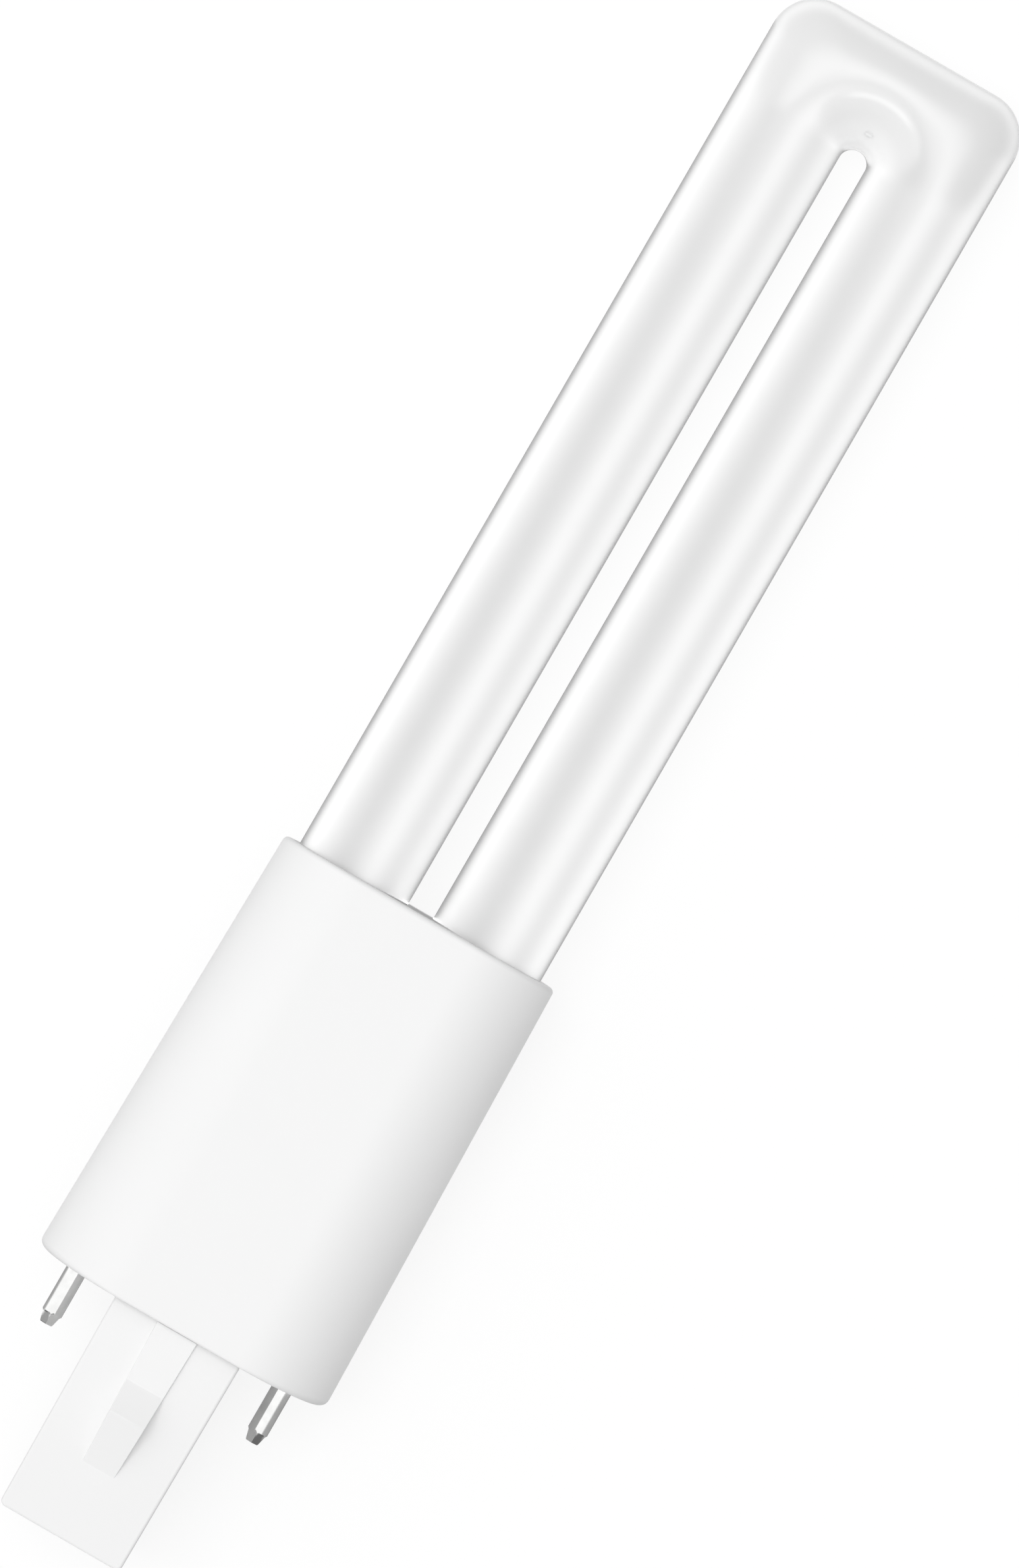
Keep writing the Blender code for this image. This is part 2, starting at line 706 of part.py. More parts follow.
def add_fuse_resistor():
    """A coated resistor with cap-shaped ends and a short lead at each end."""
    radius = RESISTOR_DIAMETER / 2
    half = RESISTOR_LENGTH / 2
    waist = RESISTOR_WAIST / 2
    cap_end = half - RESISTOR_CAP_LENGTH
    profile = (
        (0.0, half + LEAD_STUB),
        (LEAD_RADIUS, half + LEAD_STUB),
        (LEAD_RADIUS, half),
        (radius, half - LEAD_RADIUS),
        (radius, cap_end),
        (waist, cap_end - LEAD_RADIUS),
        (waist, LEAD_RADIUS - cap_end),
        (radius, -cap_end),
        (radius, LEAD_RADIUS - half),
        (LEAD_RADIUS, -half),
        (LEAD_RADIUS, -half - LEAD_STUB),
        (0.0, -half - LEAD_STUB),
    )
    resistor = turned("fuse_resistor", profile, resistor_coat(), PART_FILL, steps=16)
    x = (FILM_CAPACITOR_SIZE[0] + RESISTOR_DIAMETER) / 2 + 2 * SEAT_GAP
    z = DRIVER_BOTTOM + RESISTOR_BOTTOM + half
    resistor.location = (x, DRIVER_FRONT_Y - SEAT_GAP - radius, z)


def add_choke():
    """A drum core that stands on the driver board, and the winding between its flanges."""
    radius = CHOKE_DIAMETER / 2
    half = CHOKE_HEIGHT / 2
    neck = half - CHOKE_FLANGE
    post = CHOKE_POST_DIAMETER / 2
    core_profile = (
        (0.0, half),
        (radius, half),
        (radius, neck),
        (post, neck),
        (post, -neck),
        (radius, -neck),
        (radius, -half),
        (0.0, -half),
    )
    winding_profile = (
        (post + SEAT_GAP, neck - SEAT_GAP),
        (radius - CHOKE_WINDING_SETBACK, neck - SEAT_GAP),
        (radius - CHOKE_WINDING_SETBACK, SEAT_GAP - neck),
        (post + SEAT_GAP, SEAT_GAP - neck),
    )
    core = turned("choke_core", core_profile, ferrite(), FERRITE)
    winding = turned("choke_winding", winding_profile, copper(), WINDING)
    y = DRIVER_FRONT_Y - SEAT_GAP - half
    for piece in (core, winding):
        piece.location = (0.0, y, DRIVER_TOP - CHOKE_TOP_MARGIN - radius)
        piece.rotation_euler.x = math.pi / 2


def add_chip(name, x, z, body, pitch, facing):
    """A moulded chip with flat leads on both sides. facing is -1 on the board's front and 1 behind it."""
    width, length = body
    leads = int((length - CHIP_LEAD_WIDTH) / pitch) + 1
    seat = DRIVER_FRONT_Y if facing < 0 else DRIVER_BACK_Y
    low = seat + facing * (SEAT_GAP + CHIP_STANDOFF)
    high = low + facing * CHIP_BODY_HEIGHT
    bm = box(
        (x - width / 2, min(low, high), z - length / 2),
        (x + width / 2, max(low, high), z + length / 2),
    )
    chip = place(name, mesh_from(bm, name), black_resin(), PART_FILL)
    lead_low = seat + facing * SEAT_GAP
    lead_high = lead_low + facing * CHIP_LEAD_THICKNESS
    combs = bmesh.new()
    for sign in (-1, 1):
        for number in range(leads):
            centre = z + (number - (leads - 1) / 2) * pitch
            near = x + sign * (width / 2 - JOIN_DEPTH)
            far = x + sign * (width / 2 + CHIP_LEAD_REACH)
            lead = box(
                (min(near, far), min(lead_low, lead_high), centre - CHIP_LEAD_WIDTH / 2),
                (max(near, far), max(lead_low, lead_high), centre + CHIP_LEAD_WIDTH / 2),
            )
            loose = bpy.data.meshes.new("lead")
            lead.to_mesh(loose)
            lead.free()
            combs.from_mesh(loose)
            bpy.data.meshes.remove(loose)
    join(chip, helper(f"{name}_leads", combs))


def add_chips():
    x = -(FILM_CAPACITOR_SIZE[0] / 2 + RECTIFIER_OFFSET)
    z = DRIVER_BOTTOM + RESISTOR_BOTTOM + RESISTOR_LENGTH / 2
    add_chip("bridge_rectifier", x, z, RECTIFIER_BODY, RECTIFIER_LEAD_PITCH, -1)
    middle = (DRIVER_BOTTOM + DRIVER_TOP) / 2
    add_chip("driver_chip", 0.0, middle, DRIVER_CHIP_BODY, DRIVER_CHIP_LEAD_PITCH, 1)


def add_pin_wires():
    """From the tail of each pin up and back to the driver board's front face."""
    tail = BOSS_TOP + SEAT_GAP + PIN_COLLAR_THICKNESS + PIN_TAIL_LENGTH
    for side, sign in SIDES:
        x = sign * PIN_SPACING / 2
        end_x = sign * (PIN_SPACING / 2 - PIN_WIRE_INSET)
        low = tail + SEAT_GAP
        high = low + PIN_WIRE_RISE
        end_y = DRIVER_FRONT_Y - SEAT_GAP
        turn = (end_x, -end_y / 2, high)
        points = bend_points((x, 0.0, low), (x, 0.0, high), turn, (end_x, end_y, high))
        add_wire(f"pin_wire_{side}", points, WIRE_RADIUS, wire_cover(), PART_FILL)


def add_led_wires():
    """Two leads to each LED board, from near the driver board's top to the front of the LED board's tail."""
    for side, sign in SIDES:
        for pole, offset in (("inner", -WIRE_PAD_OFFSET), ("outer", WIRE_PAD_OFFSET)):
            x = sign * (TUBE_PITCH / 2 + offset)
            start_y = DRIVER_FRONT_Y - SEAT_GAP
            end_y = LED_BOARD_FRONT_Y - SEAT_GAP - WIRE_RADIUS
            low = DRIVER_TOP - WIRE_TOP_MARGIN
            high = TUBE_FOOT - SEAT_GAP
            points = bend_points(
                (x, start_y, low), (x, end_y - start_y, low), (x, end_y, low), (x, end_y, high)
            )
            add_wire(f"led_wire_{side}_{pole}", points, WIRE_RADIUS, wire_cover(), PART_FILL)


def solids():
    """Each piece's corner points, triangles and density, in the upright frame."""
    bpy.context.view_layer.update()
    graph = bpy.context.evaluated_depsgraph_get()
    for piece in PARTS.objects:
        if piece == STAND:
            continue
        evaluated = piece.evaluated_get(graph)
        mesh = evaluated.to_mesh()
        mesh.calc_loop_triangles()
        points = [piece.matrix_world @ vert.co for vert in mesh.vertices]
        triangles = [tuple(triangle.vertices) for triangle in mesh.loop_triangles]
        evaluated.to_mesh_clear()
        yield piece, points, triangles


def weigh():
    """The lamp's weight, the height of its balance point, and every corner point."""
    weight = 0.0
    moment = 0.0
    corners = []
    for piece, points, triangles in solids():
        corners.extend(points)
        for a, b, c in triangles:
            share = points[a].dot(points[b].cross(points[c])) / 6 * piece["density"]
            weight += share
            moment += share * (points[a].z + points[b].z + points[c].z) / 4
    return weight, moment / weight, corners


def resting_edge(corners, balance):
    """The edge of the lamp's back, as two (z, y) points, that lies on the ground under the balance point."""
    outline = []
    for z, y in sorted({(round(point.z, 7), round(point.y, 7)) for point in corners}):
        while len(outline) > 1:
            (z0, y0), (z1, y1) = outline[-2:]
            if (z1 - z0) * (y - y0) - (y1 - y0) * (z - z0) < 0:
                break
            outline.pop()
        outline.append((z, y))
    for low, high in zip(outline, outline[1:]):
        if low[0] <= balance <= high[0]:
            return low, high
    return outline[0], outline[-1]


def lay_on_back():
    """Turns the lamp on its back, on the edge that carries it, with the origin under its box's middle."""
    weight, balance, corners = weigh()
    low, high = resting_edge(corners, balance)
    tilt = math.atan2(low[1] - high[1], high[0] - low[0])
    # The head points along +x, the front looks up and the right pin is on the -y side
    lying = Matrix(((0.0, 0.0, 1.0), (-1.0, 0.0, 0.0), (0.0, -1.0, 0.0))).to_4x4()
    turn = Matrix.Rotation(tilt, 4, "Y") @ lying
    placed = [turn @ point for point in corners]
    lows = [min(point[axis] for point in placed) for axis in range(3)]
    highs = [max(point[axis] for point in placed) for axis in range(3)]
    middle = Vector(((lows[0] + highs[0]) / 2, (lows[1] + highs[1]) / 2, lows[2]))
    STAND.matrix_world = Matrix.Translation(-middle) @ turn
    print(f"weight {weight * 1000:.1f} g, balances {balance * 1000:.1f} mm above the seat")
    print(f"tilt {math.degrees(tilt):.2f} degrees, resting on {low} and {high}")


def build():
    add_tube()
    add_housing()
    add_base_cap()
    for side, sign in SIDES:
        add_pin(side, sign)
        add_led_board(side, sign)
    add_leds()
    add_driver_board()
    add_electrolytic()
    add_capacitor_leads()
    add_film_capacitor()
    add_fuse_resistor()
    add_choke()
    add_chips()
    add_pin_wires()
    add_led_wires()
    lay_on_back()


clear_scene()
PARTS = add_collection("led_plug_in_lamp")
CUTTERS = add_collection("cutters")
CUTTERS.hide_render = True
STAND = bpy.data.objects.new("lamp_axis", None)
PARTS.objects.link(STAND)
build()
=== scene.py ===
# %% [markdown]
# # A plug-in LED lamp, piece by piece
# The lamp is a folded opal tube in a white housing, with a guide post and two pins under it. The solids come
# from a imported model, which is loaded as a frame that never moves. This lesson gives each piece its fine
# surface and its finish, then sets up a small studio and a camera above the lamp, which lies on its back.

import json
import math

import bmesh
import bpy
from mathutils import Matrix, Vector


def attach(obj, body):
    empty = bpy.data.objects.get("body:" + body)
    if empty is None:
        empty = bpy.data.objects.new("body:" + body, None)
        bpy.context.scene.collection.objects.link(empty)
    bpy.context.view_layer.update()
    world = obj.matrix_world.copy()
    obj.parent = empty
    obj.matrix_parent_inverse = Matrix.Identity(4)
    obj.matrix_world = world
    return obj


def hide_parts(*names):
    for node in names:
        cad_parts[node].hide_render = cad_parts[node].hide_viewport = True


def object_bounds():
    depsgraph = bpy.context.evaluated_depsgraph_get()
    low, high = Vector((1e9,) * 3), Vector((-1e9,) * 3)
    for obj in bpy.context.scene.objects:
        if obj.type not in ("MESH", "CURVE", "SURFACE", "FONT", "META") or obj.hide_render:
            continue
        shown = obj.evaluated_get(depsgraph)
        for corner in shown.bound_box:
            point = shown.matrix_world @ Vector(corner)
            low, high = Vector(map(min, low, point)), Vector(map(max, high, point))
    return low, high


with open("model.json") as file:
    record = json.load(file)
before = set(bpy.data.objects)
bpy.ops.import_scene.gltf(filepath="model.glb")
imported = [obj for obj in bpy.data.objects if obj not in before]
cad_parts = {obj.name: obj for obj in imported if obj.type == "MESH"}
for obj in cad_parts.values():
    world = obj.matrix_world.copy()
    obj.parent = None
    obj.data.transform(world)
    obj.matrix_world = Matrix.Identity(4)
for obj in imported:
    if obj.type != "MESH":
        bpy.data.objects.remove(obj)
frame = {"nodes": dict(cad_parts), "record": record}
cad_low, cad_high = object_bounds()
nodes = frame["nodes"]
print("frame:", len(nodes), "nodes,", [round(1000 * v, 2) for v in cad_high - cad_low], "mm")

# %% [markdown]
# ## The lamp's own axes
# The lamp lies a little tilted, because its housing is thicker than its tube. It is easier to model it as if
# it stood upright: x runs from pin to pin, y from front to back and z from the face that seats in the lamp
# holder up to the head. Two mounts in the record say where that face and the tip of the post are, so the
# matrix that takes an upright point to its place in the scene is worked out from them.

# %% Find the lamp's axes
MM = 0.001
mounts = {mount["name"]: mount for mount in frame["record"]["mounts"]}
post_tip = Vector(mounts["post_tip"]["pos_m"])
up_lamp = -Vector(mounts["cap_seat"]["axis"]).normalized()
post_length = (Vector(mounts["cap_seat"]["pos_m"]) - post_tip).dot(up_lamp)
to_right = Vector((0.0, -1.0, 0.0))
to_back = up_lamp.cross(to_right)
turn = Matrix((to_right, to_back, up_lamp)).transposed().to_4x4()
LAMP = Matrix.Translation(post_tip + up_lamp * post_length) @ turn
UPRIGHT = LAMP.inverted()
print(f"post {post_length / MM:.2f} mm long, tilt {math.degrees(math.asin(-up_lamp.z)):.2f} degrees")

# %% [markdown]
# ## Sizes read from the frame
# Nothing is fitted by eye: the sizes come from the corners of the solids, seen in the lamp's own axes. The
# housing tapers, so its two rounded rims are measured apart, and a straight line through them gives its
# half width and half depth at any height.

# %% Measure the solids
def lamp_box(name, low=-1.0, high=1.0):
    """Lowest and highest corner of a node in the lamp's axes, of its points between two heights."""
    placed = [UPRIGHT @ vert.co for vert in nodes[name].data.vertices]
    points = [point for point in placed if low <= point.z <= high]
    return [Vector([pick(point[axis] for point in points) for axis in range(3)]) for pick in (min, max)]


tube_low, tube_high = lamp_box("tube")
TUBE_RADIUS = tube_high.y
TUBE_HALF_WIDTH = tube_high.x
SLOT_RADIUS = TUBE_HALF_WIDTH - 2 * TUBE_RADIUS
LEG_X = TUBE_HALF_WIDTH - TUBE_RADIUS
HEAD_TOP = tube_high.z
TUBE_FOOT = tube_low.z

HOUSING_TOP = lamp_box("housing_sleeve")[1].z
foot_rim = lamp_box("housing_sleeve", 0.0, HOUSING_TOP / 2)[1]
top_rim = lamp_box("housing_sleeve", HOUSING_TOP / 2, HOUSING_TOP)[1]
FOOT_ROUND = 0.9 * MM
TOP_ROUND = 0.5 * MM
SEAT_GAP = 0.3 * MM


def housing_half_size(z):
    """Half width and half depth of the housing at a height."""
    share = (z - FOOT_ROUND) / (HOUSING_TOP - TOP_ROUND - FOOT_ROUND)
    return [foot_rim[axis] + (top_rim[axis] - foot_rim[axis]) * share for axis in (0, 1)]


print(f"tube radius {TUBE_RADIUS / MM:.3f}, slot {2 * SLOT_RADIUS / MM:.2f}, head at {HEAD_TOP / MM:.1f} mm")
for rim_z in (0.0, HOUSING_TOP):
    print(f"housing at {rim_z / MM:.1f} mm:", [round(2 * v / MM, 2) for v in housing_half_size(rim_z)])

# %% [markdown]
# ## Small helpers for meshes and node trees
# A mesh is finished the same way for every piece: equal points are merged, faces are turned outwards, it is
# shaded smooth with sharp edges kept, and it is moved from the upright axes to its place. The finished
# object stays at the origin, so that a pattern on Object coordinates sits still in it.

# %% Mesh helpers
MERGE = 1e-6
SHARP = math.radians(32.0)


def clean(bm):
    bmesh.ops.remove_doubles(bm, verts=bm.verts, dist=MERGE)
    bmesh.ops.recalc_face_normals(bm, faces=bm.faces)


def to_mesh(bm, name):
    mesh = bpy.data.meshes.new(name)
    bm.to_mesh(mesh)
    bm.free()
    return mesh


def show(name, mesh):
    made = bpy.data.objects.new(name, mesh)
    bpy.context.scene.collection.objects.link(made)
    return made


def show_mesh(name, bm):
    return show(name, to_mesh(bm, name))


def clean_up(thing):
    """Merges the equal points of an object's mesh and turns its faces outwards."""
    bm = bmesh.new()
    bm.from_mesh(thing.data)
    clean(bm)
    thing.data = to_mesh(bm, thing.name)


def bake_modifiers(thing):
    """Turns what the modifiers make into the object's own plain mesh."""
    bpy.context.view_layer.update()
    graph = bpy.context.evaluated_depsgraph_get()
    made = bpy.data.meshes.new_from_object(thing.evaluated_get(graph))
    thing.modifiers.clear()
    thing.data = made
    return thing


def mount(thing, finish, slot, replaced=(), flats=True):
    """Puts a finished upright piece in its place on the lamp, in the stead of its solids.

    flats says that it has large flat faces, which shade evenly only with weighted normals.
    """
    thing.data.transform(LAMP)
    thing.data.shade_smooth()
    thing.data.set_sharp_from_angle(angle=SHARP)
    if flats:
        even = thing.modifiers.new("even", "WEIGHTED_NORMAL")
        even.keep_sharp = True
        even.weight = 100
        bake_modifiers(thing)
    mesh = thing.data
    mesh.materials.clear()
    mesh.materials.append(finish)
    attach(thing, "root")
    if replaced:
        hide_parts(*replaced)
    print(f"{thing.name}: {len(mesh.polygons)} faces, stands for {len(replaced)} solids")


def add_rings(bm, rings):
    """Skins a row of closed rings that have as many points each, and returns their points."""
    placed = [[bm.verts.new(point) for point in ring] for ring in rings]
    for ring, following in zip(placed, placed[1:]):
        for k in range(len(ring)):
            after = (k + 1) % len(ring)
            bm.faces.new((ring[k], ring[after], following[after], following[k]))
    return placed


def quarter(radius, steps):
    """Points (inset, rise) of a quarter round, from a flat face out to an upright wall."""
    angles = [math.pi / 2 * step / steps for step in range(steps + 1)]
    return [(radius * (1 - math.sin(a)), radius * (1 - math.cos(a))) for a in angles]


# %% [markdown]
# Materials and shapes are both trees of nodes. One helper adds a node and feeds its inputs, with plain values
# or from earlier nodes, so that a tree reads from top to bottom like a recipe.

# %% Node helpers
def feed(tree, node, fields):
    """Fills inputs of a node: with a plain value, a socket, or another node's first output."""
    for key, value in fields.items():
        if isinstance(value, bpy.types.Node):
            value = value.outputs[0]
        if isinstance(value, bpy.types.NodeSocket):
            tree.links.new(value, node.inputs[key])
        else:
            node.inputs[key].default_value = value
    return node


def add_node(tree, kind, fields=None, **settings):
    made = tree.nodes.new(kind)
    for name, value in settings.items():
        setattr(made, name, value)
    return feed(tree, made, fields or {})


def maths(tree, operation, *values):
    return add_node(tree, "ShaderNodeMath", dict(enumerate(values)), operation=operation)


def times(tree, first, second):
    return maths(tree, "MULTIPLY", first, second)


def vector_maths(tree, operation, *values):
    return add_node(tree, "ShaderNodeVectorMath", dict(enumerate(values)), operation=operation)


def scaled(tree, vector, amount):
    fields = {0: vector, "Scale": amount}
    return add_node(tree, "ShaderNodeVectorMath", fields, operation="SCALE")


def split(tree, vector):
    """The X, Y and Z of a vector."""
    return add_node(tree, "ShaderNodeSeparateXYZ", {0: vector}).outputs


def joined(tree, **parts):
    """A vector from its X, Y and Z. One that isn't given is 0."""
    return add_node(tree, "ShaderNodeCombineXYZ", parts)

# %% [markdown]
# ## Finishes
# Every finish starts from a Principled shader. Its constant values sit on its own sockets. Noise on Object
# coordinates then varies the colour and the roughness a little and lifts the surface, because a moulded or
# a drawn surface is never quite even.

# %% Make a finish
def new_finish(name, **sockets):
    """A material with sockets of its shader set. Returns it, its tree and the place in the lamp's axes."""
    look = bpy.data.materials.new(name)
    look.use_nodes = True
    tree = look.node_tree
    fields = {socket.replace("_", " "): value for socket, value in sockets.items()}
    feed(tree, tree.nodes["Principled BSDF"], fields)
    return look, tree, place_in(tree)


def place_in(tree, stretch=(1.0, 1.0, 1.0)):
    """Object coordinates, brought to the lamp's axes and stretched."""
    where = add_node(tree, "ShaderNodeTexCoord").outputs["Object"]
    move = {"Vector": where, "Location": UPRIGHT.to_translation(), "Rotation": UPRIGHT.to_euler()}
    turned = add_node(tree, "ShaderNodeMapping", move)
    return add_node(tree, "ShaderNodeMapping", {"Vector": turned, "Scale": stretch})


def noise(tree, where, size, detail=2.0):
    """Noise whose lumps are about as large as size, in metres."""
    fields = {"Vector": where, "Scale": 1.0 / size, "Detail": detail}
    return add_node(tree, "ShaderNodeTexNoise", fields).outputs["Fac"]


def spread(tree, value, low=0.0, high=1.0):
    """Stretches the middle of a noise to run from low to high."""
    fields = {"Value": value, "From Min": 0.3, "From Max": 0.7, "To Min": low, "To Max": high}
    return add_node(tree, "ShaderNodeMapRange", fields)


def blend(tree, share, *tones):
    """Mixes two tones. The Mix node has its colours in inputs 6 and 7 and in output 2."""
    first, second = [tone if isinstance(tone, bpy.types.NodeSocket) else (*tone, 1.0) for tone in tones]
    return add_node(tree, "ShaderNodeMix", {0: share, 6: first, 7: second}, data_type="RGBA").outputs[2]


def dress(look, colour, roughness, height=None, lift=0.0):
    """Feeds the shader of a finish: colour, roughness, and a height field that lifts by so many metres."""
    tree = look.node_tree
    fields = {"Base Color": colour, "Roughness": roughness}
    if height is not None:
        fields["Normal"] = add_node(tree, "ShaderNodeBump", {"Height": height, "Distance": lift})
    feed(tree, tree.nodes["Principled BSDF"], fields)
    print("finish:", look.name)
    return look


# %% [markdown]
# ### Opal tube
# The tube is milky all through, and its skin is as glossy as window glass. The milk is the base colour, and
# a clear coat over a softer base gives two reflections of the studio on top of each other: a crisp one and
# a blurred one. That is what draws soft stripes along the legs and sharper arcs round the head.

# %% Opal finish
def opal_finish():
    coat = {"Coat_Weight": 1.0, "Coat_Roughness": 0.12, "Coat_IOR": 1.5}
    look, tree, where = new_finish("opal_glass", Roughness=0.32, IOR=1.5, **coat)
    cloud = noise(tree, where, 22 * MM, 3.0)
    colour = blend(tree, spread(tree, cloud), (0.680, 0.680, 0.680), (0.692, 0.692, 0.692))
    fine = noise(tree, where, 3 * MM, 2.0)
    return dress(look, colour, spread(tree, fine, 0.30, 0.34), noise(tree, where, 6 * MM, 1.0), 0.01 * MM)


OPAL = opal_finish()

# %% [markdown]
# ### White housing plastic
# The housing and its cap are moulded in one white plastic with a satin skin, left by a finely eroded mould.
# The grain is far smaller than a pixel of a whole view, so it only shows from near, as a soft sparkle.

# %% Moulded plastic finish
def moulded_finish():
    look, tree, where = new_finish("white_moulding", IOR=1.5, Specular_IOR_Level=0.2)
    cloud = spread(tree, noise(tree, where, 15 * MM, 3.0))
    colour = blend(tree, cloud, (0.843, 0.843, 0.843), (0.855, 0.855, 0.855))
    grain = noise(tree, where, 0.18 * MM, 3.0)
    return dress(look, colour, spread(tree, cloud, 0.54, 0.60), grain, 0.004 * MM)


MOULDED = moulded_finish()

# %% [markdown]
# ### Nickel on the pins
# The pins are drawn brass wire with a thin nickel plate. Drawing leaves very fine lines along the pin, so
# the noise is stretched along z until its lumps turn into lines, and it varies the roughness and the lift.

# %% Nickel finish
def nickel_finish():
    look, tree, where = new_finish("nickel_plate", Metallic=1.0, IOR=1.5)
    lines = noise(tree, place_in(tree, stretch=(1.0, 1.0, 0.02)), 0.12 * MM, 4.0)
    cloud = noise(tree, where, 1.2 * MM, 3.0)
    colour = blend(tree, spread(tree, cloud), (0.70, 0.70, 0.695), (0.78, 0.78, 0.775))
    return dress(look, colour, spread(tree, lines, 0.06, 0.14), lines, 0.001 * MM)


NICKEL = nickel_finish()

# %% [markdown]
# ## The folded tube
# The real tube is one piece: two round legs and a bridge between them, with square shoulders outside and a
# round slot end inside. Its shape follows one rule, so Geometry Nodes can make it. The guide is an outline
# with square corners, and Fillet Curve rounds them. A flat grid is then bent to it: one side of the grid
# runs along the outline and the other runs round the tube. A section's ridge keeps its distance from the
# slot, and its outer half reaches to the outline. That makes the legs round and stretches the shoulders.

# %% Build the tree for the folded tube
HEAD_CORNER = 4.6 * MM
HEAD_BRIDGE = 11.3 * MM
TUBE_WALL = 1.0 * MM
SLOT_END = HEAD_TOP - HEAD_BRIDGE - SLOT_RADIUS


def new_shape_tree(name, sizes):
    """A Geometry Nodes tree with a named input for each size. Returns the tree and its inputs' values."""
    tree = bpy.data.node_groups.new(name, "GeometryNodeTree")
    tree.is_modifier = True
    tree.interface.new_socket("Geometry", in_out="INPUT", socket_type="NodeSocketGeometry")
    for label, value in sizes.items():
        kind = "NodeSocketInt" if isinstance(value, int) else "NodeSocketFloat"
        tree.interface.new_socket(label, in_out="INPUT", socket_type=kind)
    tree.interface.new_socket("Geometry", in_out="OUTPUT", socket_type="NodeSocketGeometry")
    return tree, add_node(tree, "NodeGroupInput").outputs


def end_tree(tree, shape, finish):
    """Ends a tree with real geometry in one finish."""
    real = add_node(tree, "GeometryNodeRealizeInstances", {0: shape})
    dressed = add_node(tree, "GeometryNodeSetMaterial", {0: real, "Material": finish})
    add_node(tree, "NodeGroupOutput", {0: dressed})


def run_tree(thing, tree, sizes):
    """Runs a tree on an object, with each input set by its identifier, and keeps the plain mesh."""
    step = thing.modifiers.new(tree.name, "NODES")
    step.node_group = tree
    for item in tree.interface.items_tree:
        if item.in_out == "INPUT" and item.name in sizes:
            step[item.identifier] = sizes[item.name]
    return bake_modifiers(thing)


def folded_tube_tree(sizes):
    tree, size = new_shape_tree("folded_tube", sizes)
    guide = add_node(tree, "GeometryNodeMeshToCurve", {0: size["Geometry"]})
    fillet = {"Curve": guide, "Radius": size["Corner radius"], "Count": size["Corner steps"]}
    outline = add_node(tree, "GeometryNodeFilletCurve", fillet, mode="POLY")
    sides = {"Size X": 1.0, "Size Y": 1.0}
    sides.update({"Vertices X": size["Steps along"], "Vertices Y": size["Steps round"]})
    sheet = add_node(tree, "GeometryNodeMeshGrid", sides)
    place = split(tree, add_node(tree, "GeometryNodeInputPosition"))
    along = maths(tree, "ADD", place["X"], 0.5)
    angle = times(tree, maths(tree, "ADD", place["Y"], 0.5), 2 * math.pi)
    reader = {"Curves": outline, "Factor": along}
    outer = add_node(tree, "GeometryNodeSampleCurve", reader, mode="FACTOR").outputs["Position"]
    base = joined(tree, Z=maths(tree, "MINIMUM", split(tree, outer)["Z"], size["Slot end"]))
    leg = size["Leg radius"]
    reach = vector_maths(tree, "NORMALIZE", vector_maths(tree, "SUBTRACT", outer, base))
    to_ridge = scaled(tree, reach, maths(tree, "ADD", size["Slot radius"], leg))
    ridge = vector_maths(tree, "ADD", base, to_ridge)
    swing = maths(tree, "COSINE", angle)
    outwards = scaled(tree, vector_maths(tree, "SUBTRACT", outer, ridge), maths(tree, "MAXIMUM", swing, 0.0))
    inwards = scaled(tree, reach, times(tree, maths(tree, "MINIMUM", swing, 0.0), leg))
    deep = joined(tree, Y=times(tree, maths(tree, "SINE", angle), leg))
    sideways = vector_maths(tree, "ADD", outwards, inwards)
    spot = vector_maths(tree, "ADD", vector_maths(tree, "ADD", ridge, deep), sideways)
    bent = add_node(tree, "GeometryNodeSetPosition", {"Geometry": sheet, "Position": spot})
    seam = add_node(tree, "GeometryNodeMergeByDistance", {"Geometry": bent, "Distance": MERGE})
    end_tree(tree, seam, OPAL)
    return tree


# %% [markdown]
# The tree gives the outer skin. Its faces are turned outwards first, and only then does Solidify add the
# wall inwards, because on a closed shell the inner wall would confuse that step.

# %% Make the tube
def lets_light_past(thing):
    """A milky tube hardly shades what lies beside it, so bounced light passes it, and what it holds."""
    thing.visible_diffuse = False
    thing.visible_glossy = False


def make_tube():
    sizes = {
        "Leg radius": TUBE_RADIUS,
        "Slot radius": SLOT_RADIUS,
        "Slot end": SLOT_END,
        "Corner radius": HEAD_CORNER,
        "Corner steps": 24,
        "Steps along": 480,
        "Steps round": 97,
    }
    square = [(1, TUBE_FOOT), (1, HEAD_TOP), (-1, HEAD_TOP), (-1, TUBE_FOOT)]
    bm = bmesh.new()
    corners = [bm.verts.new((side * TUBE_HALF_WIDTH, 0.0, z)) for side, z in square]
    for first, second in zip(corners, corners[1:]):
        bm.edges.new((first, second))
    tube = run_tree(show_mesh("opal_tube", bm), folded_tube_tree(sizes), sizes)
    clean_up(tube)
    wall = tube.modifiers.new("wall", "SOLIDIFY")
    wall.thickness = TUBE_WALL
    wall.offset = -1.0
    mount(bake_modifiers(tube), OPAL, "opal_tube", ["tube"], flats=False)
    lets_light_past(tube)


make_tube()

# %% [markdown]
# ## The housing
# The housing is a hollow moulding with an oval section: two half circles and the straights between them. It
# is skinned ring by ring, from the bores down the outside and back up the cavity. Flat faces with holes in
# them are filled between their rings. The rims are rounded with quarter circles, because the eye reads a
# moulding by its edges. At the foot they shrink along the flat front and back, which have a crisp edge.

# %% Make the housing
OVAL_STEPS = 40
BORE_STEPS = 72
SOCKET_THICKNESS = 5.0 * MM
HOUSING_WALL = 1.6 * MM
BORE_CHAMFER = 0.25 * MM
FRONT_SHARE = 0.35


